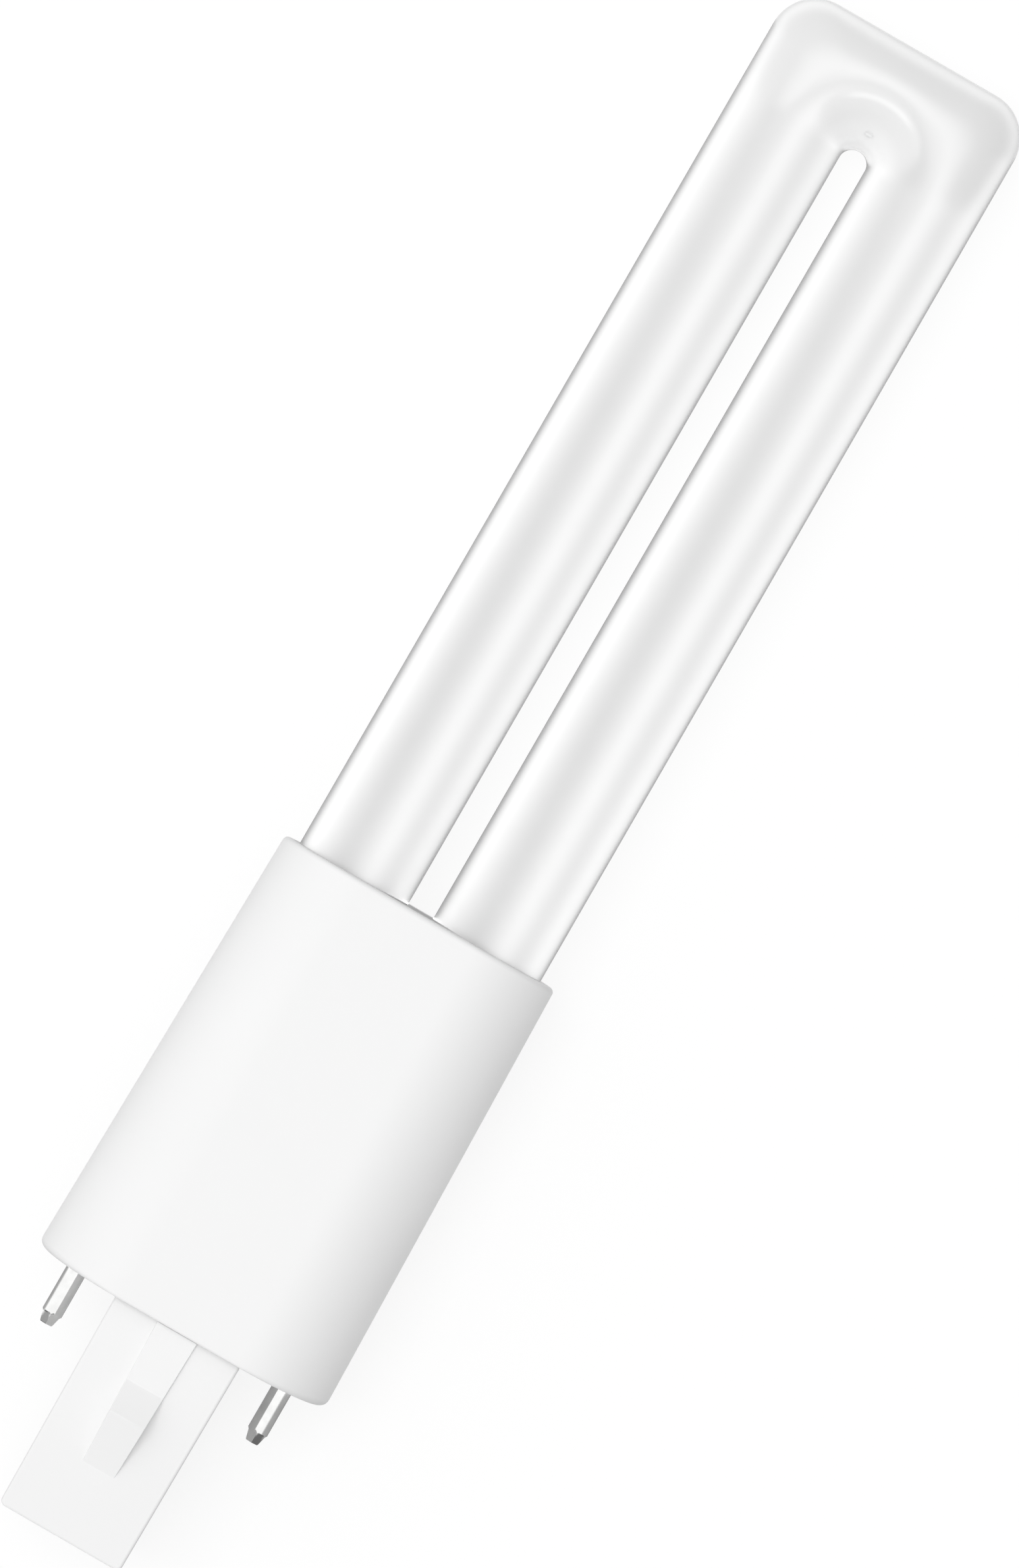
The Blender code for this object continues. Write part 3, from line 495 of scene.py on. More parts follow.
def oval_ring(z, inset):
    half_width, half_depth = housing_half_size(z)
    radius = half_depth - inset
    centre = half_width - half_depth
    ring = []
    for side in (1, -1):
        for step in range(OVAL_STEPS + 1):
            angle = math.pi * (step / OVAL_STEPS - 0.5)
            across = centre + radius * math.cos(angle)
            ring.append(Vector((side * across, side * radius * math.sin(angle), z)))
    return ring


def foot_ring(rise, inset):
    """A ring of the foot's edge, which is rounded less along the flat front and back than at the sides."""
    half_width, half_depth = housing_half_size(rise)
    ring = []
    for point, flat in zip(oval_ring(rise, inset), oval_ring(rise, 0.0)):
        reach = flat - Vector((math.copysign(half_width - half_depth, flat.x), 0.0, rise))
        share = FRONT_SHARE + (1.0 - FRONT_SHARE) * abs(reach.x) / reach.length
        shift = Vector((point.x - flat.x, point.y - flat.y, rise))
        ring.append(Vector((flat.x, flat.y, 0.0)) + share * shift)
    return ring


def circle_ring(x, z, radius):
    angles = [2 * math.pi * step / BORE_STEPS for step in range(BORE_STEPS)]
    return [Vector((x + radius * math.cos(a), radius * math.sin(a), z)) for a in angles]


def fill_face(bm, *loops):
    """A flat face inside the first ring of points, with the other rings as holes."""
    edges = [bm.edges.get((loop[k - 1], loop[k])) for loop in loops for k in range(len(loop))]
    bmesh.ops.triangle_fill(bm, use_beauty=True, edges=edges)


def make_housing():
    bm = bmesh.new()
    ceiling = HOUSING_TOP - SOCKET_THICKNESS
    outside = [foot_ring(rise, inset) for inset, rise in quarter(FOOT_ROUND, steps=8)]
    top_rounding = reversed(quarter(TOP_ROUND, steps=6))
    outside += [oval_ring(HOUSING_TOP - rise, inset) for inset, rise in top_rounding]
    cavity = [oval_ring(ceiling, HOUSING_WALL), oval_ring(0.0, HOUSING_WALL)]
    wall = add_rings(bm, cavity + outside)
    bore = TUBE_RADIUS + SEAT_GAP
    steps = [(HOUSING_TOP, bore + BORE_CHAMFER), (HOUSING_TOP - BORE_CHAMFER, bore), (ceiling, bore)]
    bores = [add_rings(bm, [circle_ring(x, z, radius) for z, radius in steps]) for x in (-LEG_X, LEG_X)]
    fill_face(bm, wall[-1], *[rings[0] for rings in bores])
    fill_face(bm, wall[0], *[rings[-1] for rings in bores])
    clean(bm)
    mount(show_mesh("housing_shell", bm), MOULDED, "white_housing", ["housing_sleeve"])


make_housing()

# %% [markdown]
# ## The cap with its guide post
# The cap closes the housing's foot. It is one moulding too: a plate with a low skirt, and a hollow post
# whose wedges snap behind the springs of the lamp holder. Its shapes are simple blocks, so they are joined
# and cut with Booleans. Each block gets its rounded edges before it is joined, and the mould's seams between
# them stay crisp.

# %% Sizes of the cap
CAP_PLATE = 2.0 * MM
SKIRT_HEIGHT = 4.0 * MM
SKIRT_WALL = 1.1 * MM
PLATE_ROUND = 0.25 * MM
pin_low, pin_high = lamp_box("contact_pin_right")
PIN_X = (pin_low.x + pin_high.x) / 2
PIN_RADIUS = 1.05 * MM
BOSS_WALL = 0.9 * MM
BOSS_RISE = 0.4 * MM
BOSS_TOP = CAP_PLATE + SKIRT_HEIGHT + BOSS_RISE
POST_HALF_WIDTH = 6.9 * MM
POST_HALF_DEPTH = 7.5 * MM
POST_DRAFT = 0.25 * MM
POST_ROUND = 0.6 * MM
POST_EDGE = 0.3 * MM
POST_WALL = 1.3 * MM
POST_FLOOR = 1.5 * MM
print(f"pins at {PIN_X / MM:.3f} mm, their bosses up to {BOSS_TOP / MM:.1f} mm")

# %% [markdown]
# A cutter or a block to join is a helper object, which is removed once the result is a mesh.

# %% Join and cut helpers
def combine(thing, shape, operation):
    helper = show_mesh("helper", shape)
    step = thing.modifiers.new("step", "BOOLEAN")
    step.operation = operation
    step.solver = "EXACT"
    step.object = helper
    bake_modifiers(thing)
    bpy.data.objects.remove(helper)


def block(low, high):
    bm = bmesh.new()
    bmesh.ops.create_cube(bm, size=1.0)
    low, high = Vector(low), Vector(high)
    bmesh.ops.scale(bm, vec=high - low, verts=bm.verts)
    bmesh.ops.translate(bm, vec=(low + high) / 2, verts=bm.verts)
    return bm


def rod(x, z_low, z_high, radius):
    bm = bmesh.new()
    middle = Matrix.Translation((x, 0.0, (z_low + z_high) / 2))
    size = {"radius1": radius, "radius2": radius, "depth": z_high - z_low}
    bmesh.ops.create_cone(bm, cap_ends=True, segments=BORE_STEPS, matrix=middle, **size)
    return bm


def round_off(bm, edges, width, steps):
    options = {"profile": 0.5, "affect": "EDGES", "clamp_overlap": True}
    bmesh.ops.bevel(bm, geom=edges, offset=width, segments=steps, **options)


def post_block(z_high, z_low, inset):
    """The post's block, which narrows by its draft towards the tip."""
    half_width = POST_HALF_WIDTH - inset
    half_depth = POST_HALF_DEPTH - inset
    bm = block((-half_width, -half_depth, z_low), (half_width, half_depth, z_high))
    for vert in bm.verts:
        if vert.co.z < (z_high + z_low) / 2:
            vert.co.x -= math.copysign(POST_DRAFT, vert.co.x)
            vert.co.y -= math.copysign(POST_DRAFT, vert.co.y)
    return bm


def heights(edge):
    return [vert.co.z for vert in edge.verts]


def runs_to_back(edge):
    """Whether an edge of the post runs from its front to its back."""
    first, second = edge.verts
    return first.co.y * second.co.y < 0.0


def rounded_post():
    """The post with the two corners of its tip rounded, and then the edges of its front and back."""
    post = post_block(CAP_PLATE / 2, -post_length, 0.0)
    corners = [edge for edge in post.edges if max(heights(edge)) < 0.0 and runs_to_back(edge)]
    round_off(post, corners, POST_ROUND, steps=6)
    below = [edge for edge in post.edges if min(heights(edge)) < CAP_PLATE / 2 - MERGE]
    round_off(post, [edge for edge in below if not runs_to_back(edge)], POST_EDGE, steps=4)
    return post


# %% [markdown]
# The wedge starts as a flat pad, with a thin dark slit between it and the plate, steps up to a crest and
# runs out on the post, a little narrower than it began. In the picture its three faces show as three tones,
# which set the slopes, and a narrow shadow falls along its right side. So its long edges are only just
# broken, and the shadow is left to the light. The profile's points are millimetres down and out.

# %% The wedges
WEDGE_HALF_WIDTH = 2.2 * MM
WEDGE_END_HALF_WIDTH = 1.75 * MM
WEDGE_EDGE = 0.08 * MM
WEDGE_PROFILE = ((0.12, 0.6), (6.4, 0.6), (9.6, 2.45), (15.4, 0.05))


def wedge(sign):
    face = POST_HALF_DEPTH - POST_DRAFT
    root = face - POST_WALL / 2
    start = WEDGE_PROFILE[0][0] * MM
    end = WEDGE_PROFILE[-1][0] * MM
    outline = [(-start, root)]
    outline += [(-down * MM, face + rise * MM) for down, rise in WEDGE_PROFILE]
    outline += [(-end, root)]
    bm = bmesh.new()
    side = bm.faces.new([bm.verts.new((-WEDGE_HALF_WIDTH, sign * y, z)) for z, y in outline])
    raised = bmesh.ops.extrude_face_region(bm, geom=[side])
    moved = [item for item in raised["geom"] if isinstance(item, bmesh.types.BMVert)]
    bmesh.ops.translate(bm, vec=(2 * WEDGE_HALF_WIDTH, 0.0, 0.0), verts=moved)
    for vert in bm.verts:
        share = (-start - vert.co.z) / (end - start)
        half_width = WEDGE_HALF_WIDTH + (WEDGE_END_HALF_WIDTH - WEDGE_HALF_WIDTH) * share
        vert.co.x = math.copysign(half_width, vert.co.x)
    bmesh.ops.recalc_face_normals(bm, faces=bm.faces)
    proud = [e for e in bm.edges if min(abs(v.co.y) for v in e.verts) > root + MERGE]
    round_off(bm, proud, WEDGE_EDGE, steps=2)
    return bm


# %% Make the cap
def make_cap():
    bm = bmesh.new()
    skirt_top = CAP_PLATE + SKIRT_HEIGHT
    inset = HOUSING_WALL + SEAT_GAP
    inner = inset + SKIRT_WALL
    rings = [oval_ring(rise, inset + draw) for draw, rise in quarter(PLATE_ROUND, steps=4)]
    rings += [oval_ring(skirt_top, inset), oval_ring(skirt_top, inner), oval_ring(CAP_PLATE, inner)]
    skinned = add_rings(bm, rings)
    bm.faces.new(skinned[0])
    bm.faces.new(skinned[-1])
    clean(bm)
    cap = show_mesh("cap_moulding", bm)
    combine(cap, rounded_post(), "UNION")
    for sign in (-1, 1):
        combine(cap, wedge(sign), "UNION")
        combine(cap, rod(sign * PIN_X, CAP_PLATE / 2, BOSS_TOP, PIN_RADIUS + SEAT_GAP + BOSS_WALL), "UNION")
    combine(cap, post_block(CAP_PLATE + MM, POST_FLOOR - post_length, POST_WALL), "DIFFERENCE")
    for sign in (-1, 1):
        combine(cap, rod(sign * PIN_X, -MM, BOSS_TOP + MM, PIN_RADIUS + SEAT_GAP), "DIFFERENCE")
    mount(cap, MOULDED, "white_housing", ["base_cap"])


make_cap()

# %% [markdown]
# ## The contact pins
# A pin is turned: a tail for its wire, a collar that rests on the cap's boss, a round shank, and a tip that
# is crimped to six flats. A turned form is a row of rings, and a ring can slide from a circle to a hexagon:
# along a flat, the radius is the flat's distance divided by the cosine of the angle from its middle.

# %% Make the pins
PIN_STEPS = 96
CRIMP_FLATS = 6
PIN_LENGTH = -pin_low.z
TIP_LENGTH = 1.1 * MM
TIP_RADIUS = 0.75 * MM
COLLAR_RADIUS = 1.7 * MM
COLLAR_THICKNESS = 0.8 * MM
TAIL_RADIUS = 0.7 * MM
TAIL_LENGTH = 1.4 * MM
TIP_DIMPLE = 0.35 * MM
PIN_EDGE = 0.1 * MM


def pin_ring(x, z, radius, crimp):
    """A ring of the pin. crimp runs from 0, a circle, to 1, six flats."""
    sector = 2 * math.pi / CRIMP_FLATS
    ring = []
    for step in range(PIN_STEPS):
        angle = 2 * math.pi * step / PIN_STEPS
        flat = math.cos(sector / 2) / math.cos((angle + sector / 2) % sector - sector / 2)
        reach = radius * (1 + crimp * (flat - 1))
        ring.append(Vector((x + reach * math.cos(angle), reach * math.sin(angle), z)))
    return ring


def make_pin(side, sign):
    collar = BOSS_TOP + SEAT_GAP
    tail = collar + COLLAR_THICKNESS
    shank = TIP_LENGTH - PIN_LENGTH
    # Each row of the profile is a height, a radius and how far the ring is crimped.
    profile = (
        (tail + TAIL_LENGTH, TAIL_RADIUS - PIN_EDGE, 0.0),
        (tail + TAIL_LENGTH - PIN_EDGE, TAIL_RADIUS, 0.0),
        (tail, TAIL_RADIUS, 0.0),
        (tail, COLLAR_RADIUS - PIN_EDGE, 0.0),
        (tail - PIN_EDGE, COLLAR_RADIUS, 0.0),
        (collar, COLLAR_RADIUS, 0.0),
        (collar, PIN_RADIUS, 0.0),
        (shank + 3 * PIN_EDGE, PIN_RADIUS, 0.0),
        (shank + PIN_EDGE, PIN_RADIUS, 0.0),
        (shank, PIN_RADIUS, 0.6),
        (shank - PIN_EDGE, PIN_RADIUS * 0.98, 1.0),
        (PIN_EDGE - PIN_LENGTH, TIP_RADIUS * 1.03, 1.0),
        (-PIN_LENGTH, TIP_RADIUS * 0.9, 1.0),
        (-PIN_LENGTH, TIP_RADIUS * 0.45, 1.0),
        (TIP_DIMPLE - PIN_LENGTH, TIP_RADIUS * 0.12, 1.0),
    )
    bm = bmesh.new()
    rings = add_rings(bm, [pin_ring(sign * PIN_X, z, radius, crimp) for z, radius, crimp in profile])
    bm.faces.new(rings[0])
    bm.faces.new(rings[-1])
    clean(bm)
    mount(show_mesh(f"pin_{side}", bm), NICKEL, "nickel", [f"contact_pin_{side}"])


for pin_side, pin_sign in (("left", -1), ("right", 1)):
    make_pin(pin_side, pin_sign)

# %% [markdown]
# ## What is sealed inside
# The tube and the housing hide two LED boards and a small driver. They keep their solids, apart from what
# repeats, and each gets a finish of its own. Most of these finishes are two close tones of one colour, mixed
# by noise, with a roughness and a lift that vary with it, so one recipe with different values makes them.

# %% Finishes of the hidden pieces
def speckled(name, first, second, size, rough, lift=0.01 * MM, **sockets):
    """Two tones mixed by noise with lumps of one size. rough is the range of the roughness."""
    look, tree, where = new_finish(name, **sockets)
    lumps = noise(tree, where, size, 4.0)
    colour = blend(tree, spread(tree, lumps), first, second)
    return dress(look, colour, spread(tree, lumps, *rough), lumps, lift)


BOARD_WHITE = speckled("white_mask", (0.80, 0.81, 0.80), (0.88, 0.88, 0.87), 2 * MM, (0.30, 0.42))
PHOSPHOR = speckled("phosphor", (0.90, 0.72, 0.22), (0.95, 0.82, 0.36), 0.08 * MM, (0.35, 0.5))
CASE_WHITE = speckled("led_case", (0.82, 0.82, 0.80), (0.90, 0.90, 0.88), 0.5 * MM, (0.4, 0.5), 0.005 * MM)
DIPPED = speckled("dipped_case", (0.50, 0.11, 0.05), (0.60, 0.16, 0.07), 2 * MM, (0.12, 0.22), 0.05 * MM)
FERRITE = speckled("ferrite", (0.07, 0.07, 0.065), (0.11, 0.105, 0.10), 0.1 * MM, (0.6, 0.8))
RESIN = speckled("black_resin", (0.025, 0.025, 0.03), (0.04, 0.04, 0.045), 0.1 * MM, (0.45, 0.6), 0.005 * MM)
COVER = speckled("wire_cover", (0.80, 0.80, 0.79), (0.86, 0.86, 0.85), 1 * MM, (0.4, 0.5))
METAL = {"lift": 0.0, "Metallic": 1.0}
COPPER = speckled("copper_wire", (0.62, 0.26, 0.11), (0.70, 0.34, 0.15), 0.6 * MM, (0.2, 0.3), **METAL)
TINNED = speckled("tinned_wire", (0.66, 0.66, 0.64), (0.74, 0.74, 0.72), 0.3 * MM, (0.2, 0.35), **METAL)

# %% [markdown]
# Three of the hidden pieces carry a pattern. It is worked out from the place in the lamp's axes. The board
# is woven glass under green mask, so two crossed waves show through it. The capacitor has a pale stripe down
# its sleeve on the side of the negative lead. The resistor has coloured rings at steps along its length.

# %% Patterned finishes
WEAVE_SCALE = 0.2 / MM
STRIPE_HALF_ANGLE = 0.4
BROWN = (0.30, 0.12, 0.05)
BLACK = (0.02, 0.02, 0.02)
GOLD = (0.50, 0.36, 0.12)
RINGS = ((0.30, BROWN), (0.42, BLACK), (0.54, BLACK), (0.70, GOLD))
RING_HALF_WIDTH = 0.25 * MM


def step_between(tree, value, low, high):
    """1 where a value lies between two limits, else 0."""
    above = maths(tree, "GREATER_THAN", value, low)
    return times(tree, above, maths(tree, "LESS_THAN", value, high))


def woven_board():
    look, tree, where = new_finish("green_mask")
    fields = {"Vector": where, "Scale": WEAVE_SCALE}
    waves = [add_node(tree, "ShaderNodeTexWave", fields, bands_direction=way) for way in "XZ"]
    threads = maths(tree, "MULTIPLY", *[wave.outputs["Fac"] for wave in waves])
    colour = blend(tree, threads, (0.035, 0.22, 0.10), (0.06, 0.30, 0.14))
    return dress(look, colour, spread(tree, noise(tree, where, 3 * MM), 0.2, 0.3), threads, 0.01 * MM)


def striped_sleeve():
    look, tree, where = new_finish("can_sleeve")
    place = split(tree, where)
    angle = maths(tree, "ARCTAN2", place["Y"], place["X"])
    stripe = step_between(tree, angle, -STRIPE_HALF_ANGLE, STRIPE_HALF_ANGLE)
    colour = blend(tree, stripe, (0.05, 0.06, 0.10), (0.55, 0.58, 0.62))
    rough = spread(tree, noise(tree, where, 1 * MM), 0.25, 0.35)
    return dress(look, colour, rough, noise(tree, where, 0.5 * MM), 0.01 * MM)


def ringed_resistor():
    look, tree, where = new_finish("ringed_coat")
    rise = split(tree, where)["Z"]
    cloud = spread(tree, noise(tree, where, 0.8 * MM))
    colour = blend(tree, cloud, (0.17, 0.36, 0.27), (0.22, 0.43, 0.32))
    low, high = lamp_box("fuse_resistor")
    for share, tone in RINGS:
        at = low.z + (high.z - low.z) * share
        band = step_between(tree, rise, at - RING_HALF_WIDTH, at + RING_HALF_WIDTH)
        colour = blend(tree, band, colour, tone)
    return dress(look, colour, spread(tree, noise(tree, where, 1 * MM), 0.4, 0.5))


def paint(finish, *names):
    """Gives hidden solids their finish. Their shape stays as it was packed."""
    for name in names:
        nodes[name].data.materials.clear()
        nodes[name].data.materials.append(finish)
        if name.startswith("led_"):
            lets_light_past(nodes[name])
    print(finish.name, "on", ", ".join(names))


paint(BOARD_WHITE, "led_board_left", "led_board_right")
paint(woven_board(), "driver_board")
paint(striped_sleeve(), "electrolytic_capacitor")
paint(ringed_resistor(), "fuse_resistor")
paint(DIPPED, "film_capacitor")
paint(FERRITE, "choke_core")
paint(RESIN, "bridge_rectifier", "driver_chip")
paint(TINNED, "capacitor_lead_left", "capacitor_lead_right")
paint(COVER, *[name for name in nodes if "_wire_" in name])

# %% [markdown]
# ### Rows of LEDs
# An LED is a small white case with a yellow window of phosphor. Both stand in rows at an even pitch, so one
# tree makes both: a line of points, a block on each point, and the front of the block drawn in a little.

# %% Build the tree for a row
LED_WINDOW = 0.72
LED_WINDOW_RISE = 0.03 * MM
LED_FRONT = 0.9
FACES_FRONT = -0.5


def row_tree(sizes, finish):
    tree, size = new_shape_tree("row_of_blocks", sizes)
    first = joined(tree, X=size["X"], Y=size["Y"], Z=size["Z"])
    line = {"Count": size["Count"], "Start Location": first, "Offset": joined(tree, Z=size["Pitch"])}
    places = add_node(tree, "GeometryNodeMeshLine", line, mode="OFFSET")
    extent = joined(tree, X=size["Width"], Y=size["Height"], Z=size["Length"])
    plain = add_node(tree, "GeometryNodeMeshCube", {"Size": extent})
    facing = split(tree, add_node(tree, "GeometryNodeInputNormal"))["Y"]
    front = maths(tree, "LESS_THAN", facing, FACES_FRONT)
    fields = {"Geometry": plain, "Selection": front, "Scale": size["Front"]}
    drawn = add_node(tree, "GeometryNodeScaleElements", fields)
    row = add_node(tree, "GeometryNodeInstanceOnPoints", {"Points": places, "Instance": drawn})
    end_tree(tree, row, finish)
    return tree


def single_point(name):
    """An object of one point, for a tree that makes its shape by itself."""
    bm = bmesh.new()
    bm.verts.new((0.0, 0.0, 0.0))
    return show_mesh(name, bm)


# %% Make the rows
def make_row(name, side, sizes, finish, slot, replaced=()):
    row = run_tree(single_point(f"{name}_{side}"), row_tree(sizes, finish), sizes)
    mount(row, finish, slot, replaced)
    lets_light_past(row)


def make_leds(side):
    names = sorted(name for name in nodes if name.startswith(f"led_{side}_"))
    low, high = lamp_box(names[0])
    next_low = lamp_box(names[1])[0]
    case = {"Count": len(names), "Pitch": next_low.z - low.z, "Front": LED_FRONT}
    case.update(zip("XYZ", (low + high) / 2))
    case.update(zip(("Width", "Height", "Length"), high - low))
    make_row("led_cases", side, case, CASE_WHITE, "white_board")
    window = dict(case, Front=1.0, Y=low.y, Height=2 * LED_WINDOW_RISE)
    window.update({key: case[key] * LED_WINDOW for key in ("Width", "Length")})
    make_row("led_windows", side, window, PHOSPHOR, "led_phosphor", names)


for leg_side in ("left", "right"):
    make_leds(leg_side)

# %% [markdown]
# ### The choke's winding
# The choke is a ferrite bobbin wound with enamelled wire. Only its outer layer can be seen, so that layer is
# a real helix, and the layers under it are one solid ring. A spiral curve gives the path and a circle its
# section.

# %% Wind the choke
COIL_WIRE = 0.36 * MM
COIL_WIRE_RADIUS = 0.49 * COIL_WIRE
COIL_DEPTH = 1.45 * MM


def round_curve(tree, steps, radius):
    fields = {"Resolution": steps, "Radius": radius}
    return add_node(tree, "GeometryNodeCurvePrimitiveCircle", fields)


def swept(tree, path, section):
    fields = {"Curve": path, "Profile Curve": section, "Fill Caps": True}
    return add_node(tree, "GeometryNodeCurveToMesh", fields)


def coil_tree(sizes):
    tree, size = new_shape_tree("wound_coil", sizes)
    path = {"Resolution": 28, "Rotations": size["Turns"], "Height": size["Height"]}
    path.update({"Start Radius": size["Radius"], "End Radius": size["Radius"]})
    helix = add_node(tree, "GeometryNodeCurveSpiral", path)
    wire = swept(tree, helix, round_curve(tree, 8, size["Wire radius"]))
    fields = {"Width": size["Core depth"], "Height": size["Height"]}
    section = add_node(tree, "GeometryNodeCurvePrimitiveQuadrilateral", fields)
    core = swept(tree, round_curve(tree, 56, size["Core radius"]), section)
    lift = joined(tree, Z=times(tree, size["Height"], 0.5))
    raised = add_node(tree, "GeometryNodeTransform", {"Geometry": core, "Translation": lift})
    both = add_node(tree, "GeometryNodeJoinGeometry", {0: wire})
    end_tree(tree, feed(tree, both, {0: raised}), COPPER)
    return tree


def wind_choke():
    low, high = lamp_box("choke_winding")
    radius = (high.x - low.x) / 2
    height = high.y - low.y - COIL_WIRE
    sizes = {
        "Turns": height / COIL_WIRE,
        "Height": height,
        "Radius": radius - COIL_WIRE / 2,
        "Wire radius": COIL_WIRE_RADIUS,
        "Core radius": radius - (COIL_WIRE + COIL_DEPTH) / 2,
        "Core depth": COIL_DEPTH - COIL_WIRE,
    }
    coil = run_tree(single_point("choke_coil"), coil_tree(sizes), sizes)
    upright = Matrix.Rotation(-math.pi / 2, 4, "X")
    centre = Matrix.Translation(((low.x + high.x) / 2, low.y + COIL_WIRE / 2, (low.z + high.z) / 2))
    coil.data.transform(centre @ upright)
    clean_up(coil)
    mount(coil, COPPER, "copper", ["choke_winding"], flats=False)


wind_choke()

# %% [markdown]
# ## The studio
# The lamp lies on a plain white table. Seen by the camera, the table is nearly as bright as white paper, and
# only a light shadow marks where the lamp lies. Seen by the light that bounces off it, the table is grey, so
# that the far side of the housing still falls into shade. It doesn't show in the gloss of the tube, whose
# dark edges come from the unlit part of the room.

# %% The table
TABLE_GREY = (0.5, 0.5, 0.5, 1.0)
TABLE_GLOW = 0.84
TABLE_SIZE = 12.0


def bare_tree(owner):
    """The emptied node tree of a new material or world."""
    owner.use_nodes = True
    owner.node_tree.nodes.clear()
    return owner.node_tree


def table_finish():
    look = bpy.data.materials.new("white_table")
    tree = bare_tree(look)
    seen = add_node(tree, "ShaderNodeLightPath").outputs["Is Camera Ray"]
    paper = add_node(tree, "ShaderNodeBsdfDiffuse", {"Color": (1.0, 1.0, 1.0, 1.0)})
    glow = add_node(tree, "ShaderNodeEmission")
    shown = add_node(tree, "ShaderNodeMixShader", {0: TABLE_GLOW, 1: paper, 2: glow})
    bounce = add_node(tree, "ShaderNodeBsdfDiffuse", {"Color": TABLE_GREY})
    both = add_node(tree, "ShaderNodeMixShader", {0: seen, 1: bounce, 2: shown})
    add_node(tree, "ShaderNodeOutputMaterial", {0: both})
    return look


def make_table():
    bm = bmesh.new()
    bmesh.ops.create_grid(bm, x_segments=1, y_segments=1, size=TABLE_SIZE / 2)
    bmesh.ops.translate(bm, vec=(0.0, 0.0, cad_low.z), verts=bm.verts)
    table = show_mesh("table", bm)
    table.data.materials.append(table_finish())
    table.visible_glossy = False
    table.visible_shadow = False
    print("table at", round(cad_low.z / MM, 2), "mm")


make_table()

# %% [markdown]
# The room is a world that answers each kind of ray in its own way. The camera sees white. White surfaces get
# a soft light, a little stronger from the left and from the front. Gloss sees bands of dark and light, as
# in a photo studio with its panels. Legs reflect them by the angle round the lamp, while the bent head and
# the slot's end reflect rays that tilt up or down, so these have bands of their own, by the angle from the
# front. Each band is a stop of a smooth ramp, in degrees and radiance, and was read from the picture.

# %% Levels of the room
ROOM = 0.669
ROOM_LEAN = -0.245
ROOM_FRONT = 0.42
ROOM_RISE = -0.06
BRIGHTEST = 7.0
LEG_LIGHT = ((-150, 0.4), (-98, 5.3), (-22, 0.1), (31, 6.0), (62, 4.3), (97, 5.8), (160, 0.5))
HEAD_LIGHT = ((3, 2.4), (19, 4.8), (50, 2.3), (80, 2.4), (108, 3.2), (150, 1.2))
FOOT_LIGHT = ((12, 2.9), (49, 3.0), (87, 4.3), (110, 4.0), (134, 2.5), (160, 1.5))
STREAK_LIGHT = ((11, 0.0), (16, 3.0), (20, 3.0), (26, 0.0))
HEAD_ZONE = (5.4, 8.5)
FOOT_ZONE = (-3, -9)
FOOT_SIDES = (100, 60)
STREAK_BEGIN = (-44, -32)
STREAK_END = (50, 38)


def new_ramp(tree, angle, stops):
    """A smooth ramp over an angle in radians. Its stops are pairs of degrees and level."""
    share = maths(tree, "MULTIPLY_ADD", angle, 0.5 / math.pi, 0.5)
    ramp = add_node(tree, "ShaderNodeValToRGB", {"Fac": share})
    ramp.color_ramp.interpolation = "EASE"
    elements = ramp.color_ramp.elements
    elements.remove(elements[1])
    for count, (degrees, level) in enumerate(stops):
        place = degrees / 360.0 + 0.5
        stop = elements[0] if count == 0 else elements.new(place)
        stop.position = place
        stop.color = [level / BRIGHTEST] * 3 + [1.0]
    return times(tree, ramp.outputs["Color"], BRIGHTEST)


def mix_levels(tree, share, first, second):
    """Mixes two numbers, which the Mix node takes in inputs 2 and 3."""
    fields = {0: share, 2: first, 3: second}
    return add_node(tree, "ShaderNodeMix", fields, data_type="FLOAT")


def ease(tree, value, low, high):
    """Rises smoothly from 0 to 1 between two angles in degrees."""
    fields = {0: value, 1: math.radians(low), 2: math.radians(high)}
    return add_node(tree, "ShaderNodeMapRange", fields, interpolation_type="SMOOTHSTEP")


# %% The room
def gloss_level(tree, right, front, up):
    """How bright the room is for a reflected ray, by its direction in the lamp's axes."""
    around_lamp = maths(tree, "ARCTAN2", right, front)
    rise = maths(tree, "ARCSINE", up)
    tilt = maths(tree, "ARCCOSINE", front)
    legs = new_ramp(tree, around_lamp, LEG_LIGHT)
    head = new_ramp(tree, tilt, HEAD_LIGHT)
    foot = new_ramp(tree, tilt, FOOT_LIGHT)
    streak = new_ramp(tree, tilt, STREAK_LIGHT)
    from_below = maths(tree, "ARCTAN2", right, times(tree, up, -1.0))
    begin = ease(tree, from_below, *STREAK_BEGIN)
    end = ease(tree, from_below, *STREAK_END)
    foot = maths(tree, "MULTIPLY_ADD", streak, times(tree, begin, end), foot)
    sideways = maths(tree, "ABSOLUTE", from_below)
    share = times(tree, ease(tree, rise, *FOOT_ZONE), ease(tree, sideways, *FOOT_SIDES))
    level = mix_levels(tree, share, legs, foot)
    return mix_levels(tree, ease(tree, rise, *HEAD_ZONE), level, head)


